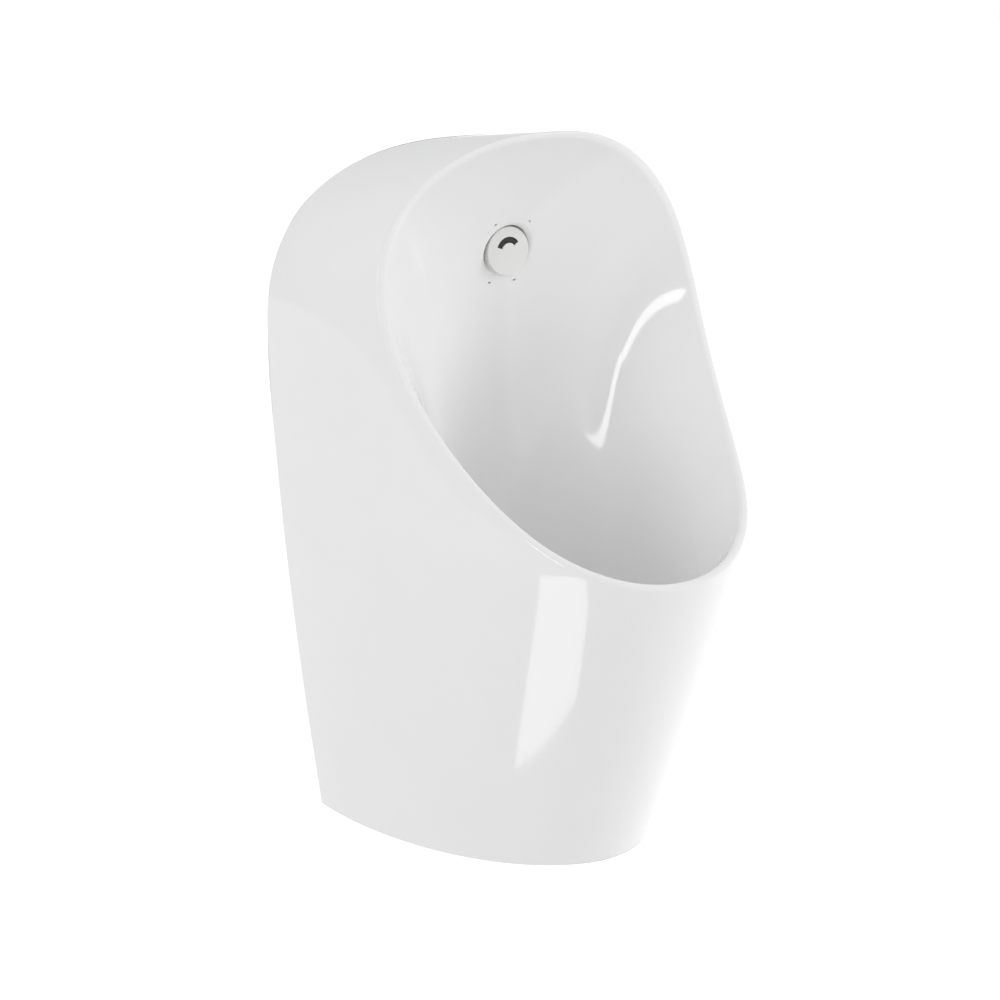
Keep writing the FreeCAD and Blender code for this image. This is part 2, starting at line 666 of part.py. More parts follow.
INLET = ("0", "0", "inlet_height")
OUTLET = ("0", "-sump_depth", "0")


def inlet_cylinder(name, radius, near, far):
    """A cylinder on the spray head's axis, between two depths."""
    return part_cylinder(name, radius, "%s - (%s)" % (far, near), ("0", "-(%s)" % near, "inlet_height"), FORWARD)


def make_ceramic():
    """The body, with its seats, holes, hanger slots and lugs."""
    blank = doc.addObject("Part::Feature", "ceramic_blank")
    blank.Shape = ceramic_blank()
    blank.Placement = FreeCAD.Placement(Vector(0, 0, -size("hanger_height")), FreeCAD.Rotation())
    tools = [
        inlet_cylinder("stem_hole", "stem_radius + stem_clearance", "web_front", "seat_depth + 1"),
        inlet_cylinder("pipe_opening", "inlet_pipe_radius * 2", "0", "web_front + 1"),
        part_cylinder("outlet_hole", "outlet_hole_radius", "sump_thickness + 20",
                      ("0", "-sump_depth", "(sump_height - sump_thickness - 10)")),
        part_cylinder("outlet_recess", "recess_radius", "recess_depth + 1",
                      ("0", "-sump_depth", "(sump_height - recess_depth)")),
    ]
    slot_width = "hanger_width + 2 * slot_side_play"
    slot_top = "(hanger_height + hanger_rise + pad_thickness)"
    for name, sign in (("left", "-"), ("right", "")):
        tools.append(part_box(
            "hanger_slot_" + name,
            ("%shanger_spacing / 2 - hanger_width / 2 - slot_side_play" % sign,
             "-web_front - 1", "(%s - slot_height)" % slot_top),
            (slot_width, "web_thickness + 2", "slot_height")))
        tools.append(part_cylinder(
            "lug_hole_" + name, "lug_hole_radius", "lug_thickness + 2",
            ("%slower_spacing / 2" % sign, "-(lug_depth - lug_thickness - 1)", "lower_height"), FORWARD))
    body = joined("Cut", "ceramic_cut", blank, tools)
    body.Label = "ceramic_body"
    return body


# ---------------------------------------------------------------------------------------------
# Spray head and water inlet, along the axis that points at the user
# ---------------------------------------------------------------------------------------------


def arc_ridge(name, inner, outer, angle, low, high):
    """A ring sector centred on the upright, between two radii and two depths."""
    sectors = []
    for part, radius in (("outer", outer), ("inner", inner)):
        sector = part_cylinder("%s_%s" % (name, part), radius, "%s - (%s)" % (high, low),
                               ("0", "-(%s)" % low, "inlet_height"), FORWARD)
        sector.setExpression("Angle", formula(angle))
        start = FreeCAD.Rotation(Vector(0, 0, 1), 90 + size("slot_turn") - worked_out(angle) / 2.0)
        sector.Placement = FreeCAD.Placement(sector.Placement.Base, FORWARD.multiply(start))
        sectors.append(sector)
    return joined("Cut", name, sectors[0], sectors[1:])


def make_spray_head():
    """Everything between the user's side of the spray head and the flush pipe in the wall."""
    flange_back = "(seat_depth + gasket_thickness)"
    flange_front = "(seat_depth + gasket_thickness + flange_thickness)"
    spigot_front = "(seat_depth + gasket_thickness + flange_thickness + gasket_thickness)"
    rear_seat = "(seat_depth - seat_thickness)"
    ring("spray_front_gasket", "stem_radius + fit_gap", "flange_radius", "seat_depth", flange_back,
         INLET, FORWARD)
    turned("spray_body", [
        ("stem_bore", "stem_end"), ("stem_radius", "stem_end"), ("stem_radius", flange_back),
        ("flange_radius", flange_back), ("flange_radius", flange_front),
        ("nozzle_radius", flange_front), ("nozzle_radius", spigot_front), ("stem_bore", spigot_front),
    ], INLET, FORWARD)
    ring("spray_rear_gasket", "stem_radius + fit_gap", "flange_radius",
         "%s - gasket_thickness" % rear_seat, rear_seat, INLET, FORWARD)
    hex_nut("spray_lock_nut", "spray_nut_flats", "stem_radius + fit_gap", "spray_nut_height",
            ("0", "-(%s - gasket_thickness - spray_nut_height)" % rear_seat, "inlet_height"), FORWARD)

    plate_front = "(%s + nozzle_plate)" % spigot_front
    plate = inlet_cylinder("nozzle_disc", "nozzle_radius", spigot_front, plate_front)
    cap_edge = "(seat_depth + loose_gap)"
    cap_front = "(seat_depth + loose_gap + cap_depth)"
    ridge = arc_ridge("nozzle_ridge", "slot_radius - slot_width / 2 + slot_gap",
                      "slot_radius + slot_width / 2 - slot_gap", "slot_angle - 3",
                      spigot_front, "(%s - cap_roof / 2)" % cap_front)
    nozzle = joined("Fuse", "nozzle", plate, [ridge])
    nozzle.Label = "spray_nozzle"

    outside = inlet_cylinder("cap_outside", "cap_radius", cap_edge, cap_front)
    rounded = doc.addObject("Part::Fillet", "cap_rounded")
    rounded.Base = outside
    doc.recompute()
    front_edge = min(range(len(outside.Shape.Edges)),
                     key=lambda number: outside.Shape.Edges[number].BoundBox.YMax)
    rounded.Edges = [(front_edge + 1, size("cap_edge_round"), size("cap_edge_round"))]
    dome = doc.addObject("Part::Sphere", "cap_dome")
    dome.setExpression("Radius", formula("cap_dome_radius"))
    put(dome, ("0", "-(%s - cap_dome_radius)" % cap_front, "inlet_height"))
    crown = joined("Common", "cap_crowned", rounded, [dome])
    inside = inlet_cylinder("cap_inside", "cap_radius - cap_wall",
                            "(%s - 1)" % cap_edge, "(%s - cap_roof)" % cap_front)
    slot = arc_ridge("cap_slot", "slot_radius - slot_width / 2", "slot_radius + slot_width / 2",
                     "slot_angle", spigot_front, "(%s + 1)" % cap_front)
    cap = joined("Cut", "cap", crown, [inside, slot])
    cap.Label = "spray_cap"

    pipe_front = "inlet_pipe_front"
    pipe_bore = "inlet_pipe_radius - inlet_pipe_wall"
    stepped_pipe("inlet_pipe", "inlet_pipe_radius", pipe_bore, "inlet_pipe_in_wall", pipe_front, INLET)
    turned("inlet_sleeve", [
        ("stem_radius + fit_gap", "%s - sleeve_length" % pipe_front),
        ("%s - fit_gap" % pipe_bore, "%s - sleeve_length" % pipe_front),
        ("%s - fit_gap" % pipe_bore, pipe_front),
        ("inlet_pipe_radius - pipe_step", pipe_front),
        ("inlet_pipe_radius - pipe_step", "%s + sleeve_lip" % pipe_front),
        ("stem_radius + fit_gap", "%s + sleeve_lip" % pipe_front),
    ], INLET, FORWARD)
    ring("inlet_grommet", "inlet_pipe_radius - pipe_step + fit_gap", "inlet_pipe_radius + grommet_width", "0",
         "grommet_length", INLET, FORWARD)


# ---------------------------------------------------------------------------------------------
# Outlet, trap and waste pipe
# ---------------------------------------------------------------------------------------------

RECESS = "(sump_height - recess_depth)"
FLANGE_UNDER = "(%s + waste_gasket_thickness)" % RECESS
FLANGE_TOP = "(%s + waste_flange_thickness)" % FLANGE_UNDER
TAIL_END = "(%s - tail_length)" % FLANGE_UNDER
CERAMIC_UNDER = "(sump_height - sump_thickness)"
DIP_COLLAR_TOP = "(%s - union_seal_thickness)" % TAIL_END
NECK_TOP = "(%s - dip_collar_thickness)" % DIP_COLLAR_TOP
NECK_COLLAR_UNDER = "(%s - neck_collar_thickness)" % NECK_TOP
UNION_UNDER = "(%s - union_nut_floor)" % NECK_COLLAR_UNDER
PIPE_IN_FRONT = "waste_pipe_radius - pipe_step"


def make_waste_fitting():
    """Strainer, flanged tail, its rings and its nut."""
    ring("waste_gasket", "outlet_hole_radius + fit_gap", "waste_flange_radius", RECESS, FLANGE_UNDER, OUTLET)
    step = "(%s - strainer_seat_depth)" % FLANGE_TOP
    turned("waste_fitting", [
        ("tail_bore", TAIL_END), ("tail_radius", TAIL_END), ("tail_radius", FLANGE_UNDER),
        ("waste_flange_radius", FLANGE_UNDER), ("waste_flange_radius", FLANGE_TOP),
        ("strainer_radius + loose_gap", FLANGE_TOP), ("strainer_radius + loose_gap", step),
        ("tail_bore", step),
    ], OUTLET)
    under = "(%s - under_gasket_thickness)" % CERAMIC_UNDER
    ring("waste_under_gasket", "tail_radius + fit_gap", "under_gasket_radius", under, CERAMIC_UNDER, OUTLET)
    hex_nut("waste_nut", "waste_nut_flats", "tail_radius + fit_gap", "waste_nut_height",
            ("0", "-sump_depth", "(%s - waste_nut_height)" % under))

    collar_inner = "strainer_collar_radius - strainer_collar_wall"
    top = "(%s + strainer_thickness)" % step
    strainer = turned("outlet_strainer", [
        ("0", step), (collar_inner, step), (collar_inner, "%s - strainer_collar_length" % step),
        ("strainer_collar_radius", "%s - strainer_collar_length" % step), ("strainer_collar_radius", step),
        ("strainer_radius", step), ("strainer_radius", top), ("0", top),
    ], OUTLET)
    drilled(strainer, "XY_Plane", [("0", "0", "strainer_hole_radius")])
    for radius, count in (("strainer_inner_ring", "strainer_inner_holes"),
                          ("strainer_outer_ring", "strainer_outer_holes")):
        hole = drilled(strainer, "XY_Plane", [(radius, "0", "strainer_hole_radius")])
        doc.recompute()
        pattern = strainer.newObject("PartDesign::PolarPattern", "pattern")
        pattern.Originals = [hole]
        pattern.Axis = (hole.Profile[0], ["N_Axis"])
        pattern.Angle = 360
        pattern.setExpression("Occurrences", formula(count))
        strainer.Tip = pattern


def make_trap():
    """Bottle trap: union nut and ring, dip tube, body, and the cup that screws off for cleaning."""
    ring("trap_union_seal", "tail_bore - 3", "tail_radius - fit_gap", DIP_COLLAR_TOP, TAIL_END, OUTLET)
    dip_inner = "dip_tube_radius - dip_tube_wall"
    turned("trap_dip_tube", [
        (dip_inner, "dip_tube_end"), ("dip_tube_radius", "dip_tube_end"), ("dip_tube_radius", NECK_TOP),
        ("collar_radius", NECK_TOP), ("collar_radius", DIP_COLLAR_TOP), (dip_inner, DIP_COLLAR_TOP),
    ], OUTLET)
    nut = turned("trap_union_nut", [
        ("neck_radius + loose_gap", UNION_UNDER), ("union_nut_radius", UNION_UNDER),
        ("union_nut_radius", "%s + union_nut_height" % UNION_UNDER),
        ("tail_radius + fit_gap", "%s + union_nut_height" % UNION_UNDER),
        ("tail_radius + fit_gap", NECK_COLLAR_UNDER),
        ("neck_radius + loose_gap", NECK_COLLAR_UNDER),
    ], OUTLET)
    with_ribs(nut, "union_nut_radius", UNION_UNDER, "union_nut_height")

    roof_inner = "trap_roof_height - trap_wall"
    neck_inner = "dip_tube_radius + fit_gap"
    shell = turned("trap_shell", [
        ("trap_radius - trap_wall", "trap_foot_height"), ("trap_radius", "trap_foot_height"),
        ("trap_radius", "trap_roof_height"), ("neck_radius", "trap_roof_height"),
        ("neck_radius", NECK_COLLAR_UNDER), ("collar_radius", NECK_COLLAR_UNDER),
        ("collar_radius", NECK_TOP), (neck_inner, NECK_TOP), (neck_inner, roof_inner),
        ("trap_radius - trap_wall", roof_inner),
    ], OUTLET)
    socket = part_cylinder("trap_socket", "socket_radius", "socket_length + trap_wall",
                           ("0", "-(socket_front - socket_length)", "waste_axis_height"), FORWARD)
    core = part_cylinder("trap_core", "trap_radius - trap_wall", "%s - trap_foot_height" % roof_inner,
                         ("0", "-sump_depth", "trap_foot_height"))
    bore = part_cylinder("socket_hole", "socket_bore", "sump_depth - socket_front + socket_length",
                         ("0", "-(socket_front - socket_length)", "waste_axis_height"), FORWARD)
    seat = part_cylinder("socket_seat", PIPE_IN_FRONT + " + fit_gap", "socket_length - socket_stop",
                         ("0", "-(socket_front - socket_length)", "waste_axis_height"), FORWARD)
    tube_room = part_cylinder("tube_room", neck_inner, "%s - trap_foot_height" % NECK_TOP,
                              ("0", "-sump_depth", "trap_foot_height"))
    solid_socket = joined("Cut", "socket_outside", socket, [core])
    whole = joined("Fuse", "trap_with_socket", shell, [solid_socket])
    trap = joined("Cut", "trap", whole, [bore, seat, tube_room])
    trap.Label = "trap_body"

    cup_radius = "trap_radius + cup_wall"
    gasket_under = "(trap_foot_height - cup_gasket_thickness)"
    gasket_inner = "trap_radius - cup_gasket_width"
    ring("trap_cup_gasket", gasket_inner, "trap_radius", gasket_under, "trap_foot_height", OUTLET)
    cup = turned("trap_cup", [
        ("0", "cup_bottom"), (cup_radius, "cup_bottom"),
        (cup_radius, "trap_foot_height + cup_overlap"),
        ("trap_radius + fit_gap", "trap_foot_height + cup_overlap"),
        ("trap_radius + fit_gap", gasket_under), (gasket_inner, gasket_under),
        (gasket_inner, "cup_bottom + cup_floor"), ("0", "cup_bottom + cup_floor"),
    ], OUTLET)
    with_ribs(cup, cup_radius, "cup_bottom", "trap_foot_height - cup_bottom")


def make_waste_pipe():
    """Pipe to the wall, its nut, its ring and the grommet at the wall."""
    place = ("0", "0", "waste_axis_height")
    mouth = "(socket_front - socket_length)"
    stepped_pipe("outlet_pipe", "waste_pipe_radius", "waste_pipe_radius - waste_pipe_wall",
                 "waste_pipe_in_wall", "(socket_front - socket_stop - loose_gap)", place)
    ring("outlet_pipe_seal", PIPE_IN_FRONT + " + fit_gap", "socket_radius",
         "(%s - pipe_seal_length)" % mouth, mouth, place, FORWARD)
    floor_front = "(%s - pipe_seal_length)" % mouth
    nut = turned("outlet_pipe_nut", [
        (PIPE_IN_FRONT + " + loose_gap", "%s - pipe_nut_floor" % floor_front),
        ("pipe_nut_radius", "%s - pipe_nut_floor" % floor_front),
        ("pipe_nut_radius", "%s + pipe_nut_overlap" % mouth),
        ("socket_radius + fit_gap", "%s + pipe_nut_overlap" % mouth),
        ("socket_radius + fit_gap", floor_front),
        (PIPE_IN_FRONT + " + loose_gap", floor_front),
    ], place, FORWARD)
    with_ribs(nut, "pipe_nut_radius", "%s - pipe_nut_floor" % floor_front,
              "pipe_nut_floor + pipe_seal_length + pipe_nut_overlap")
    ring("outlet_grommet", PIPE_IN_FRONT + " + fit_gap", "waste_pipe_radius + grommet_width", "0",
         "grommet_length", place, FORWARD)


# ---------------------------------------------------------------------------------------------
# Fixings
# ---------------------------------------------------------------------------------------------


def make_hanger(name, sign):
    """A hook of flat steel that stands on the wall and carries the ceramic's web on a saddle."""
    centre = "%shanger_spacing / 2" % sign
    body = doc.addObject("PartDesign::Body", "hanger_bracket_" + name)
    body.Label = "hanger_bracket_" + name
    profile = outline_sketch(body, "YZ_Plane", [[
        ("0", "-hanger_drop"), ("0", "hanger_rise"),
        ("-tongue_reach + hanger_steel", "hanger_rise"),
        ("-tongue_reach + hanger_steel", "hanger_rise + tongue_hook"),
        ("-tongue_reach", "hanger_rise + tongue_hook"),
        ("-tongue_reach", "hanger_rise - hanger_steel"),
        ("-hanger_steel", "hanger_rise - hanger_steel"),
        ("-hanger_steel", "-hanger_drop"),
    ]])
    pad = padded(body, profile, "hanger_width")
    pad.Midplane = True
    drilled(body, "XZ_Plane", [("0", "0", "hanger_hole_radius")])
    put(body, (centre, "0", "hanger_height"))

    saddle = part_box("saddle_" + name, (
        "%s - hanger_width / 2" % centre, "-web_front - pad_overhang",
        "(hanger_height + hanger_rise)"), (
        "hanger_width", "web_thickness + 2 * pad_overhang", "pad_thickness"))
    saddle.Label = "hanger_pad_" + name


def make_lower_fixing(name, sign):
    """Wall plate, stud, spacer, washer and nut that hold a ceramic lug."""
    stud = "%slower_spacing / 2" % sign
    hole = "%slower_hole_spacing / 2" % sign
    outer_sign, inner_sign = ("-", "+") if sign else ("+", "-")
    body = doc.addObject("PartDesign::Body", "lower_wall_plate_" + name)
    body.Label = "lower_wall_plate_" + name
    outer = "%s %s lower_plate_edge" % (stud, outer_sign)
    inner = "%s %s lower_plate_edge" % (hole, inner_sign)
    low, high = "-lower_plate_height / 2", "lower_plate_height / 2"
    sketch = outline_sketch(body, "XZ_Plane", [[(inner, low), (outer, low), (outer, high), (inner, high)]])
    padded(body, sketch, "hanger_steel")
    drilled(body, "XZ_Plane", [(hole, "0", "lower_hole_radius")])
    put(body, ("0", "0", "lower_height"))

    axis = (stud, "0", "lower_height")
    lug_back = "(lug_depth - lug_thickness)"
    turned("lower_stud_" + name, [
        ("0", "hanger_steel"), ("stud_radius", "hanger_steel"), ("stud_radius", "stud_length - 1"),
        ("stud_radius - 1", "stud_length"), ("0", "stud_length"),
    ], axis, FORWARD)
    ring("lower_spacer_" + name, "stud_radius + loose_gap", "spacer_radius", "hanger_steel", lug_back,
         axis, FORWARD)
    ring("lower_washer_" + name, "stud_radius + loose_gap", "washer_radius", "lug_depth",
         "lug_depth + washer_thickness", axis, FORWARD)
    hex_nut("lower_nut_" + name, "nut_flats", "stud_radius + fit_gap", "nut_height",
            (stud, "-(lug_depth + washer_thickness)", "lower_height"), FORWARD)


# ---------------------------------------------------------------------------------------------
# Assembly and export
# ---------------------------------------------------------------------------------------------

make_ceramic()
make_spray_head()
make_waste_fitting()
make_trap()
make_waste_pipe()
for side_name, side_sign in (("left", "-"), ("right", "")):
    make_hanger(side_name, side_sign)
    make_lower_fixing(side_name, side_sign)
doc.recompute()

NODES = [
    "ceramic_body",
    "spray_cap", "spray_nozzle", "spray_body", "spray_front_gasket", "spray_rear_gasket",
    "spray_lock_nut", "inlet_sleeve", "inlet_pipe", "inlet_grommet",
    "outlet_strainer", "waste_gasket", "waste_fitting", "waste_under_gasket", "waste_nut",
    "trap_union_seal", "trap_union_nut", "trap_dip_tube", "trap_body", "trap_cup_gasket", "trap_cup",
    "outlet_pipe", "outlet_pipe_seal", "outlet_pipe_nut", "outlet_grommet",
]
for side_name in ("left", "right"):
    for stem in ("hanger_bracket", "hanger_pad", "lower_wall_plate", "lower_stud", "lower_spacer",
                 "lower_washer", "lower_nut"):
        NODES.append("%s_%s" % (stem, side_name))

for thing in doc.Objects:
    if "Invalid" in thing.State or "Error" in thing.State:
        raise RuntimeError("%s is in state %s" % (thing.Label, thing.State))

os.makedirs("parts", exist_ok=True)
shapes = {}
for node in NODES:
    shape = doc.getObjectsByLabel(node)[0].Shape
    if shape.isNull() or not shape.isValid() or len(shape.Solids) != 1:
        raise RuntimeError("%s is not one valid solid" % node)
    shapes[node] = shape
for node, shape in shapes.items():
    shape.exportStep(os.path.join("parts", node + ".step"))
    corners = shape.BoundBox
    print("%-24s %10.0f mm3  x %.1f..%.1f  y %.1f..%.1f  z %.1f..%.1f" % (
        node, shape.Volume, corners.XMin, corners.XMax, corners.YMin, corners.YMax,
        corners.ZMin, corners.ZMax))
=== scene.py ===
import logging
import math
from dataclasses import dataclass
from enum import Enum
from typing import Callable, Sequence

import bmesh
import bpy
import numpy as np
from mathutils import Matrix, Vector
from mathutils.bvhtree import BVHTree


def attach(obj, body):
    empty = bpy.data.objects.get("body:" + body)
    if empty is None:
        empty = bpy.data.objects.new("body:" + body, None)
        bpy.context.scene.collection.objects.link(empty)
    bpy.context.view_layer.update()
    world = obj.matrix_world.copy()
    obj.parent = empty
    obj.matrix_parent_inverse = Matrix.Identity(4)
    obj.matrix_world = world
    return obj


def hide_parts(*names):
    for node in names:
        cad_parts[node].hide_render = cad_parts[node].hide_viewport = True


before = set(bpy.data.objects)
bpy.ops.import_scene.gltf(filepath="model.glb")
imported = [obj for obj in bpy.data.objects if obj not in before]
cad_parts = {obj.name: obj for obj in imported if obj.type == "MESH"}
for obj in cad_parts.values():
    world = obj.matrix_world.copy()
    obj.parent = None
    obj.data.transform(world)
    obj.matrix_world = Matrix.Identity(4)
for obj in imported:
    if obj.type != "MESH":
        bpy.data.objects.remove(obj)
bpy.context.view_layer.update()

LOG = logging.getLogger("urinal")
MM = 0.001
# Height of the frame's origin over the bottom edge of the ceramic, in millimetres
HANGER_HEIGHT = 480.0
TO_USER, UPWARD = (0, -1, 0), (0, 0, 1)
Array = np.ndarray
Socket = bpy.types.NodeSocket
Input = float | Sequence[float] | Socket


class Body(Enum):
    """The rigid bodies that pieces ride on."""

    CERAMIC = "root"
    CAP = "spray_cap"
    STRAINER = "strainer"
    CUP = "trap_cup"


# ---------- Colours, nodes and finishes ----------


def linear(code: str) -> tuple[float, float, float, float]:
    """Turns an sRGB hex colour to linear light.

    Args:
        code: Six hex digits.

    Returns:
        Red, green, blue and an alpha of one.
    """
    parts = [int(code[i:i + 2], 16) / 255 for i in (0, 2, 4)]
    # The curve of the sRGB standard
    red, green, blue = (p / 12.92 if p <= 0.04045 else ((p + 0.055) / 1.055) ** 2.4
                        for p in parts)
    return red, green, blue, 1.0


def add_node(tree: bpy.types.NodeTree, kind: str, settings: dict[str, object] | None = None,
             inputs: dict[int | str, Input] | None = None) -> bpy.types.Node:
    """Adds one node with its settings, values and links.

    Args:
        tree: The tree that gets the node.
        kind: The node's type name.
        settings: Attributes of the node.
        inputs: A value or another node's output for each input, by index or name.

    Returns:
        The new node.
    """
    node = tree.nodes.new(kind)
    for name, value in (settings or {}).items():
        setattr(node, name, value)
    for key, value in (inputs or {}).items():
        if isinstance(value, Socket):
            tree.links.new(value, node.inputs[key])
        else:
            node.inputs[key].default_value = value
    return node


@dataclass(frozen=True)
class Finish:
    """A surface as it leaves its maker: colour, gloss and fine relief.

    The relief is a noise in object space. Its grain is given in millimetres along each axis, so
    that drawn, turned or moulded surfaces have their marks in the right direction and size.
    """

    name: str
    colour: str
    shade: str
    roughness: float
    roughness_swing: float
    grain_mm: tuple[float, float, float]
    relief_mm: float
    metallic: float = 0.0
    ior: float = 1.5
    coat: float = 0.0
    tint_mm: float = 60.0
    tint_detail: float = 2.0
    grain_detail: float = 3.0
    grain_roughness: float = 0.55
    grain_low: float = 0.25
    grain_high: float = 0.75

    def material(self) -> bpy.types.Material:
        """Builds the material, or finds the one that already has its name.

        Returns:
            The material.
        """
        found = bpy.data.materials.get(self.name)
        if found:
            return found
        material = bpy.data.materials.new(self.name)
        material.use_nodes = True
        tree = material.node_tree
        tree.nodes.clear()
        place = add_node(tree, "ShaderNodeTexCoord").outputs["Object"]
        sized = add_node(tree, "ShaderNodeMapping", inputs={
            "Vector": place, "Scale": [1 / MM / grain for grain in self.grain_mm]})
        grain = add_node(tree, "ShaderNodeTexNoise", inputs={
            "Vector": sized.outputs[0], "Scale": 1.0, "Detail": self.grain_detail,
            "Roughness": self.grain_roughness})
        cloud = add_node(tree, "ShaderNodeTexNoise", inputs={
            "Vector": place, "Scale": 1 / MM / self.tint_mm, "Detail": self.tint_detail})
        tint = add_node(tree, "ShaderNodeMix", {"data_type": "RGBA"}, {
            0: cloud.outputs[0], 6: linear(self.colour), 7: linear(self.shade)})
        gloss = add_node(tree, "ShaderNodeMapRange", inputs={
            0: grain.outputs[0], 1: self.grain_low, 2: self.grain_high,
            3: self.roughness - self.roughness_swing, 4: self.roughness + self.roughness_swing})
        bump = add_node(tree, "ShaderNodeBump", inputs={
            "Strength": 1.0, "Distance": self.relief_mm * MM, "Height": grain.outputs[0]})
        surface = add_node(tree, "ShaderNodeBsdfPrincipled", inputs={
            "Base Color": tint.outputs[2], "Roughness": gloss.outputs[0],
            "Normal": bump.outputs[0], "Metallic": self.metallic, "IOR": self.ior,
            "Coat Weight": self.coat})
        add_node(tree, "ShaderNodeOutputMaterial", inputs={0: surface.outputs[0]})
        return material


# Vitreous china, sprayed with white glaze and fired: very smooth, with a slow waviness
CHINA = Finish("vitreous_china_glaze", "F7F7F7", "F4F4F5", 0.09, 0.015, (22, 22, 22), 0.02,
               coat=0.25)
# ABS, injection moulded in a polished tool
ABS = Finish("moulded_abs_white", "ECECEA", "E8E8E6", 0.16, 0.02, (6, 6, 6), 0.01)
# Acetal, injection moulded in a spark-eroded tool: an even, dull grain
ACETAL = Finish("moulded_acetal_black", "1B1B1D", "232325", 0.46, 0.06, (0.6, 0.6, 0.6), 0.03)
# Brass, turned and chrome plated: fine turning rings stay under the plating
CHROME = Finish("chromed_turned_brass", "D5D7D9", "C6C8CB", 0.11, 0.03, (40, 40, 0.5), 0.004,
                metallic=1.0)
# Stainless steel sheet, brushed along its length
STAINLESS = Finish("brushed_stainless_sheet", "B4B3B0", "A3A29F", 0.30, 0.07,
                   (25, 0.35, 0.35), 0.01, metallic=1.0)
# EPDM, moulded: matt, with the bloom of a rubber ring
EPDM = Finish("moulded_epdm_rubber", "161616", "222221", 0.72, 0.06, (0.8, 0.8, 0.8), 0.05)
# Polyethylene pipe, extruded along Y: long drawn streaks
POLYETHYLENE = Finish("extruded_polyethylene", "121213", "1B1B1C", 0.42, 0.06,
                      (1.2, 60, 1.2), 0.03)
# Polypropylene, injection moulded, satin
POLYPROPYLENE = Finish("moulded_polypropylene", "E4E3DE", "DDDCD6", 0.38, 0.05,
                       (1.5, 1.5, 1.5), 0.03)
# Polyamide saddle, moulded in a sanded tool
POLYAMIDE = Finish("moulded_polyamide_grey", "55565A", "4B4C50", 0.55, 0.05,
                   (0.9, 0.9, 0.9), 0.04)


# ---------- Meshes ----------


def to_frame(points: Array) -> Array:
    """Turns the sizes' own millimetres to the frame's metres.

    Args:
        points: Points in millimetres, with heights over the bottom edge of the ceramic.

    Returns:
        The points in metres in the frame.
    """
    return (points - np.array([0.0, 0.0, HANGER_HEIGHT])) * MM


def conic(first: Array, corner: Array, last: Array, steps: int) -> list[Array]:
    """Rounds a corner with an arc, at many places at once.

    Args:
        first: Points where the arcs begin.
        corner: The sharp corner points.
        last: Points where the arcs end.
        steps: Number of spans.

    Returns:
        Rows of points from first to last, with both ends.
    """
    before, after = corner - first, last - corner
    lengths = np.linalg.norm(before, axis=-1) * np.linalg.norm(after, axis=-1)
    cosine = (before * after).sum(-1) / lengths
    weight = np.sqrt((1 + cosine) / 2)[..., None]
    rows = []
    for share in np.linspace(0, 1, steps + 1):
        left = 1 - share
        pull = 2 * left * share * weight
        total = left ** 2 + pull + share ** 2
        rows.append((first * left ** 2 + corner * pull + last * share ** 2) / total)
    return rows


@dataclass
class Sheet:
    """Points and faces of a mesh that is still being put together."""

    points: Array
    faces: list[tuple[int, ...]]

    @classmethod
    def of_rows(cls, rows: Sequence[Array], flip: bool = False) -> "Sheet":
        """Joins closed rows of equal length with quads.

        Args:
            rows: Rows of points, each a closed loop.
            flip: Whether the faces point the other way.

        Returns:
            The sheet.
        """
        count = len(rows[0])
        faces = []
        for row in range(len(rows) - 1):
            for column in range(count):
                after = (column + 1) % count
                face = (row * count + column, row * count + after,
                        (row + 1) * count + after, (row + 1) * count + column)
                faces.append(face[::-1] if flip else face)
        return cls(np.concatenate(rows), faces)

    def plus(self, other: "Sheet") -> "Sheet":
        """Puts both sheets in one.

        Args:
            other: The sheet that is added.

        Returns:
            The new sheet.
        """
        shift = len(self.points)
        moved = [tuple(corner + shift for corner in face) for face in other.faces]
        return Sheet(np.concatenate([self.points, other.points]), self.faces + moved)

    def without(self, drop: Callable[[Array], bool]) -> "Sheet":
        """Leaves out faces.

        Args:
            drop: A test of a face's corner points.

        Returns:
            The sheet without the faces that the test picks.
        """
        kept = [face for face in self.faces if not drop(self.points[list(face)])]
        return Sheet(self.points, kept)

    def finder(self) -> BVHTree:
        """A search tree of the sheet."""
        return BVHTree.FromPolygons([Vector(point) for point in self.points], self.faces)

    def mesh(self, name: str, sharp_degrees: float = 38.0) -> bpy.types.Mesh:
        """A smooth mesh with its sharp edges marked and its unused points gone.

        Args:
            name: The mesh's name.
            sharp_degrees: Edges that turn by more stay sharp.

        Returns:
            The mesh.
        """
        mesh = bpy.data.meshes.new(name)
        mesh.from_pydata(self.points.tolist(), [], self.faces)
        work = bmesh.new()
        work.from_mesh(mesh)
        bmesh.ops.delete(work, geom=[v for v in work.verts if not v.link_faces], context="VERTS")
        work.to_mesh(mesh)
        work.free()
        mesh.shade_smooth()
        mesh.set_sharp_from_angle(angle=math.radians(sharp_degrees))
        return mesh


def shown(name: str, mesh: bpy.types.Mesh, finish: Finish, body: Body,
          *nodes: str) -> bpy.types.Object:
    """Puts a finished mesh into the scene, on its body.

    Args:
        name: The piece's name.
        mesh: The mesh, in place in the frame.
        finish: What it is made of.
        body: What it rides on.
        nodes: CAD nodes that it stands for.

    Returns:
        The piece.
    """
    piece = bpy.data.objects.new(name, mesh)
    bpy.context.scene.collection.objects.link(piece)
    if not mesh.materials:
        mesh.materials.append(finish.material())
    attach(piece, body.value)
    if nodes:
        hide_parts(*nodes)
    LOG.info("%s: %d faces on %s", name, len(mesh.polygons), body.value)
    return piece


def dress(finish: Finish, *nodes: str) -> None:
    """Gives CAD nodes a finish.

    Args:
        finish: What the nodes are made of.
        nodes: Names of the nodes.
    """
    for name in nodes:
        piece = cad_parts[name]
        piece.data.materials.clear()
        piece.data.materials.append(finish.material())
        LOG.info("%s: %s", name, finish.name)


# ---------- Ceramic body ----------


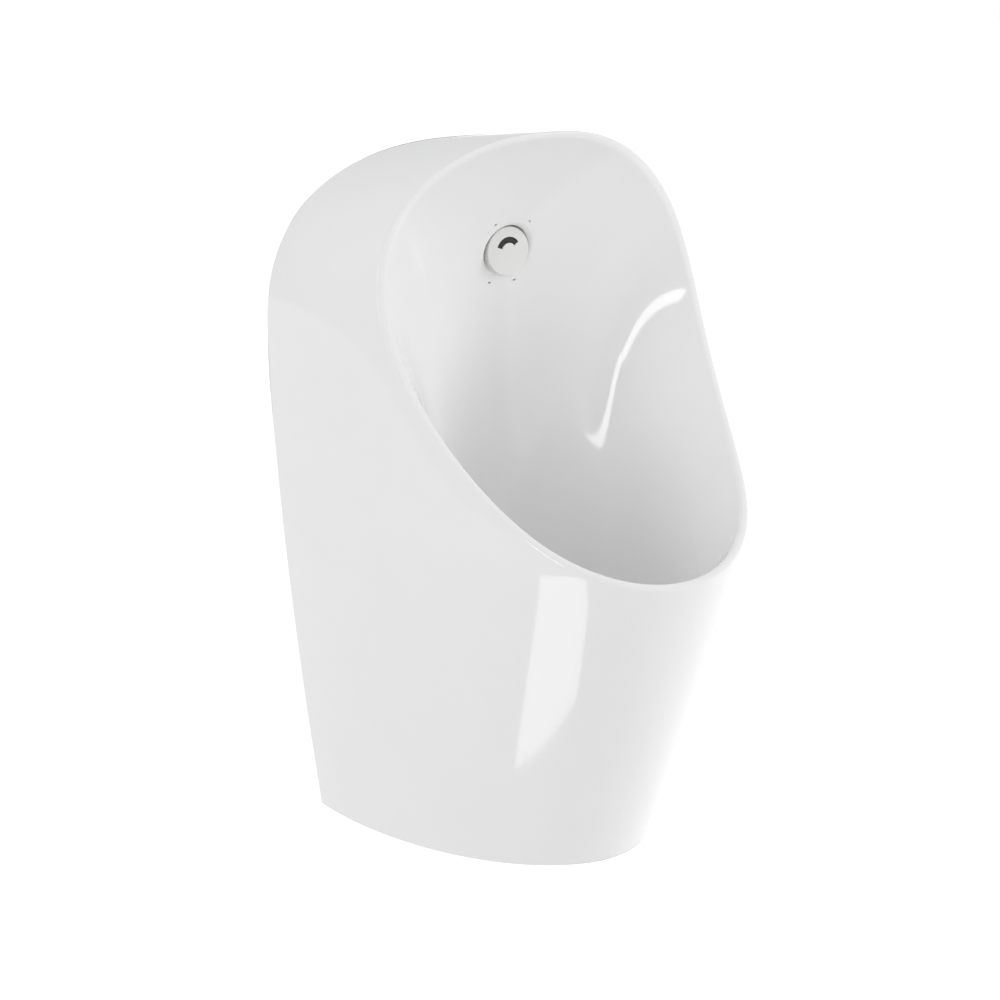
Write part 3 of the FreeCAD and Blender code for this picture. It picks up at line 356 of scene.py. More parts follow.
@dataclass
class CeramicBody:
    """The glazed body, in millimetres: heights over the bottom edge, depths from the wall."""

    # The outer skin and the rim's sweep
    body_height: float = 600.0
    half_width: float = 187.7
    foot_half_width: float = 147.5
    side_taper_power: float = 1.55
    arch_spring: float = 436.8
    arch_power: float = 2.4
    crown_slope: float = 0.127
    crown_depth: float = 136.3
    crown_power: float = 2.0
    foot_depth: float = 234.6
    front_lean: float = 0.348
    neck_depth: float = 219.6
    shoulder_lean: float = 0.619
    shoulder_height: float = 491.0
    foot_plan_power: float = 1.884
    lip_plan_power: float = 2.06
    lip_depth: float = 328.8
    lip_height: float = 267.0
    throat_depth: float = 118.6
    throat_height: float = 539.1
    swoop_power: float = 2.14
    skin_blend: float = 12.0
    shoulder_blend: float = 20.0
    back_aim: tuple[float, float, float] = (0.0, -30.0, 290.0)
    # The rim
    rim_land: float = 6.5
    rim_round: float = 2.6
    # The bowl
    sump_height: float = 150.0
    sump_depth: float = 170.0
    sump_radius: float = 50.0
    sump_thickness: float = 14.0
    lip_reach: float = 85.0
    crown_reach: float = 165.0
    lip_fall: float = 88.0
    crown_fall: float = 16.0
    fall_power: float = 1.22
    floor_reach_front: float = 40.0
    floor_reach_back: float = 75.0
    floor_reach_side: float = 15.0
    floor_slope: float = 0.12
    # The outlet and the recess round it
    recess_radius: float = 43.0
    recess_depth: float = 4.0
    recess_foot_round: float = 1.5
    recess_lip_round: float = 1.8
    outlet_radius: float = 27.0
    outlet_round: float = 1.0
    floor_margin: float = 4.0
    # The spray head's seat
    inlet_height: float = 495.0
    seat_depth: float = 71.0
    seat_radius: float = 22.0
    seat_round: float = 1.5
    stem_hole_radius: float = 12.5
    stem_hole_run: float = 1.0
    boss_fillet: float = 4.0
    boss_overlap: float = 1.0
    boss_reach: float = 120.0
    flare_cover: float = 3.5
    flare_tuck: float = 0.05
    least_turn: float = 0.01
    probe_lead: float = 30.0
    # The hidden back: what the front stands for, and the front's edge tucked into it
    cover_gap: float = 2.6
    corner_gap: float = 3.2
    least_facing: float = 0.4
    merge_distance: float = 0.001
    tuck: float = 0.4
    tuck_share: float = 0.99
    # The mesh: points round the mouth, rows, and the steps of each rounding
    turns: int = 288
    corner_turn: int = 52
    skin_rows: int = 88
    bowl_rows: int = 92
    rim_steps: int = 8
    outlet_steps: int = 3
    recess_foot_steps: int = 4
    recess_lip_steps: int = 5
    seat_steps: int = 5
    flare_steps: int = 6
    boss_turns: int = 96
    curve_samples: int = 800
    side_samples: int = 400
    # Easing of the bowl's rows, and the steps and limits of the searches
    ease_turns: int = 7
    ease_tails: int = 3
    ease_fade: float = 0.25
    ease_rim_lead: float = 1.5
    turn_step: float = 0.01
    height_step: float = 0.5
    near_share: float = 0.02
    halvings: int = 44
    rim_far: float = 1.6
    skin_far: float = 3.0
    outside_level: float = 2.0
    nearly_one: float = 1 - 1e-9

    def soft_positive(self, value: Array, width: float) -> Array:
        """Gives the value where it is positive and zero elsewhere, with a soft turn.

        Args:
            value: Any values.
            width: About how far the turn reaches.

        Returns:
            The softened values.
        """
        share = value / width
        return width * (np.maximum(share, 0) + np.log1p(np.exp(-np.abs(share))))

    def skin_level(self, points: Array) -> Array:
        """Tells the inside of the outer skin from the outside.

        Args:
            points: Points, with heights over the bottom edge.

        Returns:
            One on the skin, less inside it and more outside it.
        """
        across, depth, height = np.abs(points[..., 0]), -points[..., 1], points[..., 2]
        front = self.foot_depth + self.front_lean * height
        above = self.soft_positive(self.shoulder_height - height, self.shoulder_blend)
        shoulder = self.neck_depth + self.shoulder_lean * above
        middle_depth = front - self.soft_positive(front - shoulder, self.skin_blend)
        below_arch = np.maximum(self.arch_spring - height, 0) / self.arch_spring
        taper = below_arch ** self.side_taper_power
        half = self.half_width - (self.half_width - self.foot_half_width) * taper
        crown = self.body_height + self.crown_slope * (depth - self.crown_depth)
        climb = np.maximum(height - self.arch_spring, 0) / (crown - self.arch_spring)
        power = self.arch_power
        arch = (1 - np.minimum(climb, self.nearly_one) ** power) ** (1 / power)
        share = np.clip(height / self.lip_height, 0, 1)
        plan = self.foot_plan_power + (self.lip_plan_power - self.foot_plan_power) * share
        level = (across / (half * arch)) ** plan + (np.abs(depth) / middle_depth) ** plan
        return np.where(climb >= 1, self.outside_level, level)

    def on_rim(self, across: Array, height: Array) -> Array:
        """Finds points of the rim's swept surface.

        Args:
            across: Their x.
            height: Their heights over the bottom edge.

        Returns:
            The points.
        """
        past = height - self.throat_height
        below = np.maximum(-past / (self.throat_height - self.lip_height), 0)
        above = np.maximum(past / (self.body_height - self.throat_height), 0)
        depth = (self.throat_depth
                 + (self.lip_depth - self.throat_depth) * below ** self.swoop_power
                 + (self.crown_depth - self.throat_depth) * above ** self.crown_power)
        return np.stack([across, -depth, height], -1)

    def mouth_centre(self) -> Array:
        """The point in the middle of the mouth, on the rim's swept surface."""
        return self.on_rim(np.zeros(1), np.array([(self.body_height + self.lip_height) / 2]))

    def reach(self, start: Array, stride: Array, inside: Callable[[Array], Array],
              far: float) -> Array:
        """How many strides lead from the start to where the inside ends.

        Args:
            start: Points inside.
            stride: One direction for each point.
            inside: Test for points.
            far: A number of strides that is outside.

        Returns:
            The number of strides for each point.
        """
        low = np.zeros(stride.shape[:-1])
        high = np.full(stride.shape[:-1], far)
        for _ in range(self.halvings):
            middle = (low + high) / 2
            is_in = inside(start + stride * middle[..., None])
            low, high = np.where(is_in, middle, low), np.where(is_in, high, middle)
        return low

    def rim_outer(self, turn: Array) -> Array:
        """Finds the sharp outer edge of the rim.

        Args:
            turn: Angles round the mouth from the lip.

        Returns:
            One point of the edge for each angle.
        """
        half_rise = (self.body_height - self.lip_height) / 2
        middle = self.mouth_centre()
        stride = np.stack([self.foot_half_width * np.sin(turn), 0 * turn,
                           -np.cos(turn) * half_rise], -1)
        share = self.reach(middle, stride, self.is_under_rim, self.rim_far)
        point = middle + stride * share[..., None]
        return self.on_rim(point[..., 0], point[..., 2])

    def is_under_rim(self, points: Array) -> Array:
        """Whether the rim's surface is inside the skin at the x and z of the points."""
        return self.skin_level(self.on_rim(points[..., 0], points[..., 2])) < 1

    def rim_frame(self, turn: Array) -> tuple[Array, Array, Array]:
        """The inner edge of the rim, with the ways across the rim and into the body there.

        Args:
            turn: Angles round the mouth from the lip.

        Returns:
            The sharp inner edge, the unit way across the rim, and the unit way behind it.
        """
        here = self.rim_outer(turn)
        along = self.rim_outer(turn + self.turn_step) - self.rim_outer(turn - self.turn_step)
        up = (self.on_rim(0 * turn, here[..., 2] + self.height_step)
              - self.on_rim(0 * turn, here[..., 2] - self.height_step))
        behind = np.cross(up, [1.0, 0, 0])
        behind /= np.linalg.norm(behind, axis=-1, keepdims=True)
        across = np.cross(along, behind)
        across /= np.linalg.norm(across, axis=-1, keepdims=True)
        inward = ((self.mouth_centre() - here) * across).sum(-1)
        across *= np.where(inward < 0, -1.0, 1.0)[..., None]
        moved = here + across * self.rim_land
        return self.on_rim(moved[..., 0], moved[..., 2]), across, behind

    def wall_loop(self) -> Array:
        """Finds the body's edge along the wall and the bottom.

        Returns:
            One point for each turn, with the two corners kept.
        """
        quarter = np.linspace(0, math.pi / 2, self.curve_samples)
        power = 2 / self.foot_plan_power
        foot = np.stack([self.foot_half_width * np.sin(quarter) ** power,
                         -self.foot_depth * np.cos(quarter) ** power, 0 * quarter], -1)
        low = np.linspace(0, self.arch_spring, self.side_samples)
        taper = ((self.arch_spring - low) / self.arch_spring) ** self.side_taper_power
        half = self.half_width - (self.half_width - self.foot_half_width) * taper
        side = np.stack([half, 0 * low, low], -1)
        bend, power = quarter[1:], 2 / self.arch_power
        crown = self.body_height - self.crown_slope * self.crown_depth
        arch = np.stack([self.half_width * np.maximum(np.cos(bend), 0) ** power, 0 * bend,
                         self.arch_spring + (crown - self.arch_spring) * np.sin(bend) ** power], -1)

        def spread(line: Array, count: int) -> Array:
            """Spaces points evenly along a line.

            Args:
                line: The line's own points.
                count: Number of spans.

            Returns:
                The new points, with both ends.
            """
            steps = np.linalg.norm(np.diff(line, axis=0), axis=1)
            run = np.concatenate([[0], np.cumsum(steps)])
            where = np.linspace(0, run[-1], count + 1)
            return np.stack([np.interp(where, run, line[:, axis]) for axis in range(3)], -1)

        rest = self.turns // 2 - self.corner_turn
        right = np.concatenate([spread(foot, self.corner_turn)[:-1],
                                spread(np.concatenate([side, arch]), rest)])
        left = right[1:-1][::-1] * np.array([-1.0, 1.0, 1.0])
        return np.concatenate([right, left])

    def skin_points(self, outer: Array, edge: Array, share: Array) -> Array:
        """Points of the skin between the rim and the wall.

        Args:
            outer: The rim's outer edge.
            edge: The edge along the wall and the bottom.
            share: Zero at the rim and one at the wall, one value for each point.

        Returns:
            The points, on the skin itself.
        """
        share = share[..., None]
        chord = outer * (1 - share) + edge * share
        centre = self.mouth_centre() * (1 - share) + np.array([self.back_aim]) * share
        stride = chord - centre
        strides = self.reach(centre, stride, lambda p: self.skin_level(p) < 1, self.skin_far)
        return centre + stride * strides[..., None]

    def outward(self, turn: Array) -> Array:
        """The level ways out from the middle, for angles from the front."""
        return np.stack([np.sin(turn), -np.cos(turn), 0 * turn], -1)

    def rib_reach(self, turn: Array) -> Array:
        """How far the ribs lead inward from the rim before they turn down."""
        return self.lip_reach + (self.crown_reach - self.lip_reach) * (1 - np.cos(turn)) / 2

    def rib(self, turn: Array, share: Array) -> Array:
        """Finds points on the bowl's ribs.

        Args:
            turn: Angles round the mouth from the lip, one for each rib.
            share: Zero at the rim and one at the floor, one for each rib.

        Returns:
            One point on each rib.
        """
        height_share = (1 - np.cos(turn)) / 2
        side_share = np.sin(turn) ** 2
        start, across, behind = self.rim_frame(turn)
        fall = np.radians(self.crown_fall + (self.lip_fall - self.crown_fall)
                          * (1 - height_share) ** self.fall_power)[..., None]
        inward = across * np.cos(fall) + behind * np.sin(fall)
        radial = self.outward(turn)
        floor_reach = (self.floor_reach_front + self.floor_reach_side * side_share
                       + (self.floor_reach_back - self.floor_reach_front) * height_share)
        end = np.array([0.0, -self.sump_depth, self.sump_height]) + radial * self.sump_radius
        third = end + (radial + np.array([0, 0, self.floor_slope])) * floor_reach[..., None]
        second = start + inward * self.rib_reach(turn)[..., None]
        share = share[..., None]
        left = 1 - share
        return (start * left ** 3 + second * 3 * left ** 2 * share
                + third * 3 * left * share ** 2 + end * share ** 3)

    def eased(self, row: Array) -> Array:
        """Spreads a row's quick turns out over the points beside them.

        Args:
            row: A closed row of points.

        Returns:
            The row, each point a bell-shaped mean of its neighbours.
        """
        tails = self.ease_tails * self.ease_turns
        offsets = np.arange(-tails, tails + 1)
        weights = np.exp(-0.5 * (offsets / self.ease_turns) ** 2)
        moved = [np.roll(row, offset, axis=0) * weight for offset, weight in zip(offsets, weights)]
        return sum(moved) / weights.sum()

    def outlet_rows(self, turn: Array) -> list[Array]:
        """Rows from under the outlet over its recess to the floor of the bowl.

        Args:
            turn: Angles round the outlet from the front.

        Returns:
            Level closed rows of points.
        """
        radial = self.outward(turn)
        centre = np.array([0.0, -self.sump_depth, 0.0])

        def circle(radius: float, height: float) -> Array:
            """A level circle round the outlet.

            Args:
                radius: Its radius.
                height: Its height over the bottom edge.

            Returns:
                One point for each angle.
            """
            return centre + radial * radius + np.array([0, 0, height])

        floor, recess = self.sump_height, self.sump_height - self.recess_depth
        bore, wide = self.outlet_radius, self.recess_radius
        edge, foot, lip = self.outlet_round, self.recess_foot_round, self.recess_lip_round
        rows = [circle(bore, floor - self.sump_thickness), circle(bore, recess - 2 * edge)]
        rows += conic(circle(bore, recess - edge), circle(bore, recess),
                      circle(bore + edge, recess), self.outlet_steps)
        rows += conic(circle(wide - foot, recess), circle(wide, recess),
                      circle(wide, recess + foot), self.recess_foot_steps)
        rows += conic(circle(wide, floor - lip), circle(wide, floor),
                      circle(wide + lip, floor), self.recess_lip_steps)
        return rows + [circle(wide + self.floor_margin, floor)]

    def front_rows(self) -> list[Array]:
        """Rows of the glazed front, from under the outlet up the bowl and over to the wall.

        Returns:
            Closed rows of points, one point for each turn.
        """
        turn = np.arange(self.turns) * 2 * math.pi / self.turns
        outer, inner = self.rim_outer(turn), self.rim_frame(turn)[0]
        rows = self.outlet_rows(turn)
        # A rib leaves the rim at three times its reach for each whole share
        inside_share = self.rim_round / (3 * self.rib_reach(turn))
        for step in np.linspace(1, 0, self.bowl_rows):
            row = self.rib(turn, inside_share + (1 - inside_share) * step)
            away = min(step, (1 - step) * self.ease_rim_lead) / self.ease_fade
            rows.append(row + (self.eased(row) - row) * float(np.clip(away, 0, 1)))

        def across(share: float) -> Array:
            """A loop on the rim's land.

            Args:
                share: Zero at the outer edge and one at the inner edge.

            Returns:
                One point for each turn.
            """
            moved = outer * (1 - share) + inner * share
            return self.on_rim(moved[..., 0], moved[..., 2])

        land = self.rim_round / self.rim_land
        rows += conic(rows[-1], inner, across(1 - land), self.rim_steps)[1:]
        edge = self.wall_loop()
        near = self.skin_points(outer, edge, np.full(self.turns, self.near_share))
        outside_share = self.near_share * self.rim_round / np.linalg.norm(near - outer, axis=-1)
        first = self.skin_points(outer, edge, outside_share)
        rows += conic(across(land), outer, first, self.rim_steps)
        for step in np.linspace(0, 1, self.skin_rows)[1:-1]:
            rows.append(self.skin_points(outer, edge, outside_share + (1 - outside_share) * step))
        return rows + [edge]

    def boss_rows(self, bowl: BVHTree) -> list[Array]:
        """Rows of the seat of the spray head, which flares into the back wall of the bowl.

        Args:
            bowl: The glazed front, in frame metres.

        Returns:
            Rows from the stem's hole to the flare's edge.
        """
        turn = np.arange(self.boss_turns) * 2 * math.pi / self.boss_turns

        def circle(radius: float, depth: Array | float) -> Array:
            """A circle round the stem's axis.

            Args:
                radius: Its radius.
                depth: Its distance from the wall, at all points or at each.

            Returns:
                One point for each angle.
            """
            return np.stack([radius * np.sin(turn), 0 * turn - depth,
                             self.inlet_height + radius * np.cos(turn)], -1)

        def wall_depth(radius: float) -> Array:
            """Measures where the bowl's back wall is.

            Args:
                radius: Distance from the stem's axis.

            Returns:
                The wall's depth at each angle.
            """
            depths = []
            for point in to_frame(circle(radius, self.seat_depth + self.probe_lead)):
                hit = bowl.ray_cast(Vector(point), Vector((0, 1, 0)))[0]
                depths.append(-hit.y / MM)
            return np.array(depths)

        seat, flare = self.seat_radius, self.seat_radius + self.boss_fillet
        cover = flare + self.flare_cover
        near, far = wall_depth(seat), wall_depth(flare)
        step = near - self.seat_depth
        room = np.abs(step) / 2 + self.least_turn
        foot = np.sign(step) * np.minimum(self.seat_round, room)
        turn_in = np.sign(step) * np.minimum(self.boss_fillet, room)
        rows = [circle(self.stem_hole_radius, self.seat_depth - self.stem_hole_run)]
        rows += [circle(self.stem_hole_radius, self.seat_depth)]
        rows += conic(circle(seat - self.seat_round, self.seat_depth),
                      circle(seat, self.seat_depth), circle(seat, self.seat_depth + foot),
                      self.seat_steps)
        rows += conic(circle(seat, near - turn_in), circle(seat, near), circle(flare, far),
                      self.flare_steps)
        return rows + [circle(cover, wall_depth(cover) + self.flare_tuck)]

    def hidden_back(self, front: BVHTree) -> Sheet:
        """The wall side of the body: the solid's faces that the front doesn't stand for.

        Args:
            front: The glazed front, in frame metres.

        Returns:
            The faces that are left.
        """
        work = bmesh.new()
        work.from_mesh(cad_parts["ceramic_body"].data)
        bmesh.ops.remove_doubles(work, verts=work.verts, dist=self.merge_distance * MM)
        work.normal_update()

        def is_front(face: bmesh.types.BMFace) -> bool:
            """Whether the glazed front stands for a face of the solid.

            Args:
                face: The face.

            Returns:
                True if the front is close to it, all over, and faces its way.
            """
            _, normal, _, gap = front.find_nearest(face.calc_center_median())
            if gap > self.cover_gap * MM or normal.dot(face.normal) < self.least_facing:
                return False
            return all(front.find_nearest(corner.co)[3] < self.corner_gap * MM
                       for corner in face.verts)

        covered = [face for face in work.faces if is_front(face)]
        bmesh.ops.delete(work, geom=covered, context="FACES")
        work.verts.index_update()
        points = np.array([vert.co for vert in work.verts])
        faces = [tuple(vert.index for vert in face.verts) for face in work.faces]
        work.free()
        return Sheet(points, faces)

    def build(self) -> None:
        """Builds and dresses the body."""
        rows = self.front_rows()
        tucked = rows[-1] * np.array([self.tuck_share, 1.0, 1.0])
        tucked += np.array([0, -self.tuck, self.tuck])
        front = Sheet.of_rows([to_frame(row) for row in rows + [tucked]], flip=True)
        boss = Sheet.of_rows([to_frame(row) for row in self.boss_rows(front.finder())])
        axis_height = (self.inlet_height - HANGER_HEIGHT) * MM
        hole = (self.seat_radius + self.boss_fillet - self.boss_overlap) * MM

        def under_boss(corners: Array) -> bool:
            """Whether the spray head's seat takes a face's place.

            Args:
                corners: The face's corner points.

            Returns:
                True if a corner is in the seat's circle and none is at the front.
            """
            off = np.hypot(corners[:, 0], corners[:, 2] - axis_height)
            return bool((off < hole).any() and (corners[:, 1] > -self.boss_reach * MM).all())

        glazed = front.without(under_boss).plus(boss)
        back = self.hidden_back(glazed.finder())
        LOG.info("front %d faces, back %d faces", len(glazed.faces), len(back.faces))
        mesh = glazed.plus(back).mesh("ceramic_body_glazed")
        shown("ceramic_body_glazed", mesh, CHINA, Body.CERAMIC, "ceramic_body")


# ---------- Ridges that repeat: threads and pressed rims ----------


class Layout(Enum):
    """How the rings of a set follow each other."""

    THREAD = "one behind the other along the axis"
    RIMS = "side by side round a circle"


@dataclass(frozen=True)
class RidgeSet:
    """Rings of one size that repeat, made with Geometry Nodes. Sizes are millimetres."""

    name: str
    layout: Layout
    place: tuple[float, float, float]
    axis: tuple[float, float, float]
    ring_radius: float
    ridge: float
    count: int
    spread: float
    around: int = 40
    ridge_sides: int = 6

    def tree(self) -> bpy.types.NodeTree:
        """Builds the node tree, with the ring's size, the count and the spread as its inputs.

        Returns:
            The tree.
        """
        tree = bpy.data.node_groups.new(f"{self.name}_ridges", "GeometryNodeTree")
        for label, kind in (("Ring Radius", "Float"), ("Ridge", "Float"), ("Count", "Int"),
                            ("Spread", "Float"), ("Place", "Vector"), ("Turn", "Rotation"),
                            ("Finish", "Material")):
            tree.interface.new_socket(label, in_out="INPUT", socket_type=f"NodeSocket{kind}")
        tree.interface.new_socket("Geometry", in_out="OUTPUT", socket_type="NodeSocketGeometry")
        given = add_node(tree, "NodeGroupInput").outputs
        path = add_node(tree, "GeometryNodeCurvePrimitiveCircle", inputs={
            "Resolution": self.around, "Radius": given["Ring Radius"]})
        edge = add_node(tree, "GeometryNodeCurvePrimitiveCircle", inputs={
            "Resolution": self.ridge_sides, "Radius": given["Ridge"]})
        ring = add_node(tree, "GeometryNodeCurveToMesh", inputs={
            "Curve": path.outputs["Curve"], "Profile Curve": edge.outputs["Curve"]})
        if self.layout is Layout.THREAD:
            step = add_node(tree, "ShaderNodeCombineXYZ", inputs={2: given["Spread"]})
            spots = add_node(tree, "GeometryNodeMeshLine", inputs={
                "Count": given["Count"], "Offset": step.outputs[0]})
        else:
            spots = add_node(tree, "GeometryNodeMeshCircle", inputs={
                "Vertices": given["Count"], "Radius": given["Spread"]})
        rings = add_node(tree, "GeometryNodeInstanceOnPoints", inputs={
            "Points": spots.outputs["Mesh"], "Instance": ring.outputs["Mesh"]})
        turned = add_node(tree, "GeometryNodeTransform", inputs={
            "Geometry": rings.outputs["Instances"], "Translation": given["Place"],
            "Rotation": given["Turn"]})
        solid = add_node(tree, "GeometryNodeRealizeInstances", inputs={
            "Geometry": turned.outputs["Geometry"]})
        finished = add_node(tree, "GeometryNodeSetMaterial", inputs={
            "Geometry": solid.outputs["Geometry"], "Material": given["Finish"]})
        add_node(tree, "NodeGroupOutput", inputs={"Geometry": finished.outputs["Geometry"]})
        return tree

    def build(self, finish: Finish, slot: str, body: Body) -> None:
        """Bakes the rings to a plain mesh.

        Args:
            finish: What the rings are made of.
            slot: Not used.
            body: What they ride on.
        """
        tree = self.tree()
        source = f"{self.name}_source"
        holder = bpy.data.objects.new(source, bpy.data.meshes.new(source))
        bpy.context.scene.collection.objects.link(holder)
        modifier = holder.modifiers.new("ridges", "NODES")
        modifier.node_group = tree
        turn = Vector(UPWARD).rotation_difference(Vector(self.axis)).to_euler()
        values = {"Ring Radius": self.ring_radius * MM, "Ridge": self.ridge * MM,
                  "Count": self.count, "Spread": self.spread * MM,
                  "Place": tuple(to_frame(np.array(self.place))), "Turn": turn,
                  "Finish": finish.material()}
        for item in tree.interface.items_tree:
            if item.name in values:
                modifier[item.identifier] = values[item.name]
        bpy.context.view_layer.update()
        baked = bpy.data.meshes.new_from_object(
            holder.evaluated_get(bpy.context.evaluated_depsgraph_get()))
        bpy.data.objects.remove(holder)
        baked.shade_smooth()
        piece = shown(self.name, baked, finish, body)


# ---------- Spray head, outlet, trap and fixings ----------


@dataclass
class SprayHead:
    """Cap, nozzle, stem and seals on the axis that points at the user. Sizes are millimetres."""

    axis_height: float = 495.0
    thread_start: float = 33.0
    thread_radius: float = 10.95
    thread_ridge: float = 0.35
    thread_pitch: float = 1.4
    thread_rings: int = 9

    def build(self) -> None:
        """Dresses the solids and adds the thread of the stem."""
        dress(ABS, "spray_cap")
        dress(ACETAL, "spray_nozzle")
        dress(CHROME, "spray_body", "spray_lock_nut")
        dress(EPDM, "spray_front_gasket", "spray_rear_gasket", "inlet_sleeve", "inlet_grommet")
        dress(POLYETHYLENE, "inlet_pipe")
        thread = RidgeSet("spray_stem_thread", Layout.THREAD,
                          place=(0.0, -self.thread_start, self.axis_height), axis=TO_USER,
                          ring_radius=self.thread_radius, ridge=self.thread_ridge,
                          count=self.thread_rings, spread=self.thread_pitch)
        thread.build(CHROME, "chromed_brass", Body.CERAMIC)


@dataclass
class Outlet:
    """Strainer, waste fitting, bottle trap and waste pipe. Sizes are millimetres."""

    axis_depth: float = 170.0
    strainer_height: float = 150.0
    hole_radius: float = 2.8
    hole_ridge: float = 0.35
    hole_points: int = 20
    inner_circle: float = 9.0
    inner_holes: int = 6
    outer_circle: float = 25.5
    outer_holes: int = 14
    tail_start: float = 99.0
    tail_radius: float = 23.9
    tail_ridge: float = 0.5
    tail_pitch: float = 1.8
    tail_rings: int = 12
    tail_points: int = 72

    def build(self) -> None:
        """Dresses the solids and adds the rims of the holes and the thread of the tail."""
        dress(STAINLESS, "outlet_strainer")
        dress(CHROME, "waste_fitting")
        dress(EPDM, "waste_gasket", "waste_under_gasket", "trap_union_seal", "trap_cup_gasket",
              "outlet_pipe_seal", "outlet_grommet")
        dress(POLYETHYLENE, "waste_nut", "outlet_pipe")
        for name, circle, holes in (("inner", self.inner_circle, self.inner_holes),
                                    ("outer", self.outer_circle, self.outer_holes)):
            rims = RidgeSet(f"strainer_rims_{name}", Layout.RIMS,
                            place=(0.0, -self.axis_depth, self.strainer_height), axis=UPWARD,
                            ring_radius=self.hole_radius, ridge=self.hole_ridge,
                            count=holes, spread=circle, around=self.hole_points)
            rims.build(STAINLESS, "stainless", Body.STRAINER)
        thread = RidgeSet("waste_tail_thread", Layout.THREAD,
                          place=(0.0, -self.axis_depth, self.tail_start), axis=UPWARD,
                          ring_radius=self.tail_radius, ridge=self.tail_ridge,
                          count=self.tail_rings, spread=self.tail_pitch, around=self.tail_points)
        thread.build(CHROME, "chromed_brass", Body.CERAMIC)
        dress(POLYPROPYLENE, "trap_union_nut", "trap_dip_tube", "trap_body", "trap_cup",
              "outlet_pipe_nut")


@dataclass
class Fixings:
    """Hangers behind the bowl and the lower fixings at the foot. Sizes are millimetres."""

    stud_across: float = 118.0
    stud_height: float = 45.0
    thread_start: float = 37.0
    thread_radius: float = 3.9
    thread_ridge: float = 0.35
    thread_pitch: float = 1.25
    thread_rings: int = 10
    thread_points: int = 24

    def build(self) -> None:
        """Dresses the solids and adds the threads of the studs."""
        for side, across in (("left", -self.stud_across), ("right", self.stud_across)):
            dress(STAINLESS, f"hanger_bracket_{side}", f"lower_wall_plate_{side}",
                  f"lower_stud_{side}", f"lower_washer_{side}", f"lower_nut_{side}")
            dress(POLYAMIDE, f"hanger_pad_{side}")
            dress(EPDM, f"lower_spacer_{side}")
            thread = RidgeSet(f"stud_thread_{side}", Layout.THREAD,
                              place=(across, -self.thread_start, self.stud_height), axis=TO_USER,
                              ring_radius=self.thread_radius, ridge=self.thread_ridge,
                              count=self.thread_rings, spread=self.thread_pitch,
                              around=self.thread_points)
            thread.build(STAINLESS, "stainless", Body.CERAMIC)


# ---------- Studio ----------


# Watts for each square metre of a softbox and each unit of its level
WATTS_PER_LEVEL = 4


def way_to(azimuth: float, elevation: float) -> Vector:
    """Finds the way from a point to what it sees at two angles.

    Args:
        azimuth: Degrees from the front, positive to the right.
        elevation: Degrees over the horizon.

    Returns:
        The way, one long.
    """
    turn, rise = math.radians(azimuth), math.radians(elevation)
    return Vector((math.sin(turn) * math.cos(rise), -math.cos(turn) * math.cos(rise),
                   math.sin(rise)))


class Use(Enum):
    """What a softbox is there for."""

    LIGHTING = "lights the object"
    MIRRORED = "shows in the glaze"


@dataclass(frozen=True)
class Lamp:
    """A softbox, placed by how its aim sees it. Lengths are metres and angles degrees.

    The azimuth counts from the front, positive to the right, and the elevation from the horizon.
    The level is the radiance, where a white floor in full light is near one.
    """

    name: str
    use: Use
    aim: tuple[float, float, float]
    azimuth: float
    elevation: float
    distance: float
    width: float
    height: float
    level: float

    def build(self) -> None:
        """Adds the softbox."""
        aim = Vector(self.aim)
        place = aim + self.distance * way_to(self.azimuth, self.elevation)
        data = bpy.data.lights.new(self.name, "AREA")
        data.shape = "RECTANGLE"
        data.size, data.size_y = self.width, self.height
        data.energy = WATTS_PER_LEVEL * self.width * self.height * self.level
        lamp = bpy.data.objects.new(self.name, data)
        lamp.location = place
        lamp.rotation_mode = "QUATERNION"
        lamp.rotation_quaternion = (aim - place).to_track_quat("-Z", "Y")
        lamp.visible_camera = False
        lamp.visible_glossy = self.use is Use.MIRRORED
        lamp.visible_diffuse = self.use is Use.LIGHTING
        bpy.context.scene.collection.objects.link(lamp)


# What the softboxes point at: the middle of the object, the skirt's left and the bowl's right
CENTRE, APRON, INSIDE = (0, -0.16, -0.18), (-0.085, -0.27, -0.28), (0.1, -0.11, -0.12)
# Azimuth and elevation, then distance, width and height, then the level
LAMPS = (
    Lamp("softbox_right", Use.LIGHTING, CENTRE, 60, 8, 2.6, 1.3, 1.3, 2.8),
    Lamp("softbox_left", Use.LIGHTING, CENTRE, -80, 20, 2.6, 1.0, 2.0, 1.3),
    Lamp("softbox_front", Use.LIGHTING, CENTRE, 5, -3, 3.3, 1.6, 1.6, 0.45),
    Lamp("strip_low", Use.MIRRORED, APRON, -56, -42, 0.62, 0.28, 0.39, 1.7),
    Lamp("strip_left", Use.MIRRORED, INSIDE, -50, 8, 2.5, 0.3, 1.6, 4.0),
)


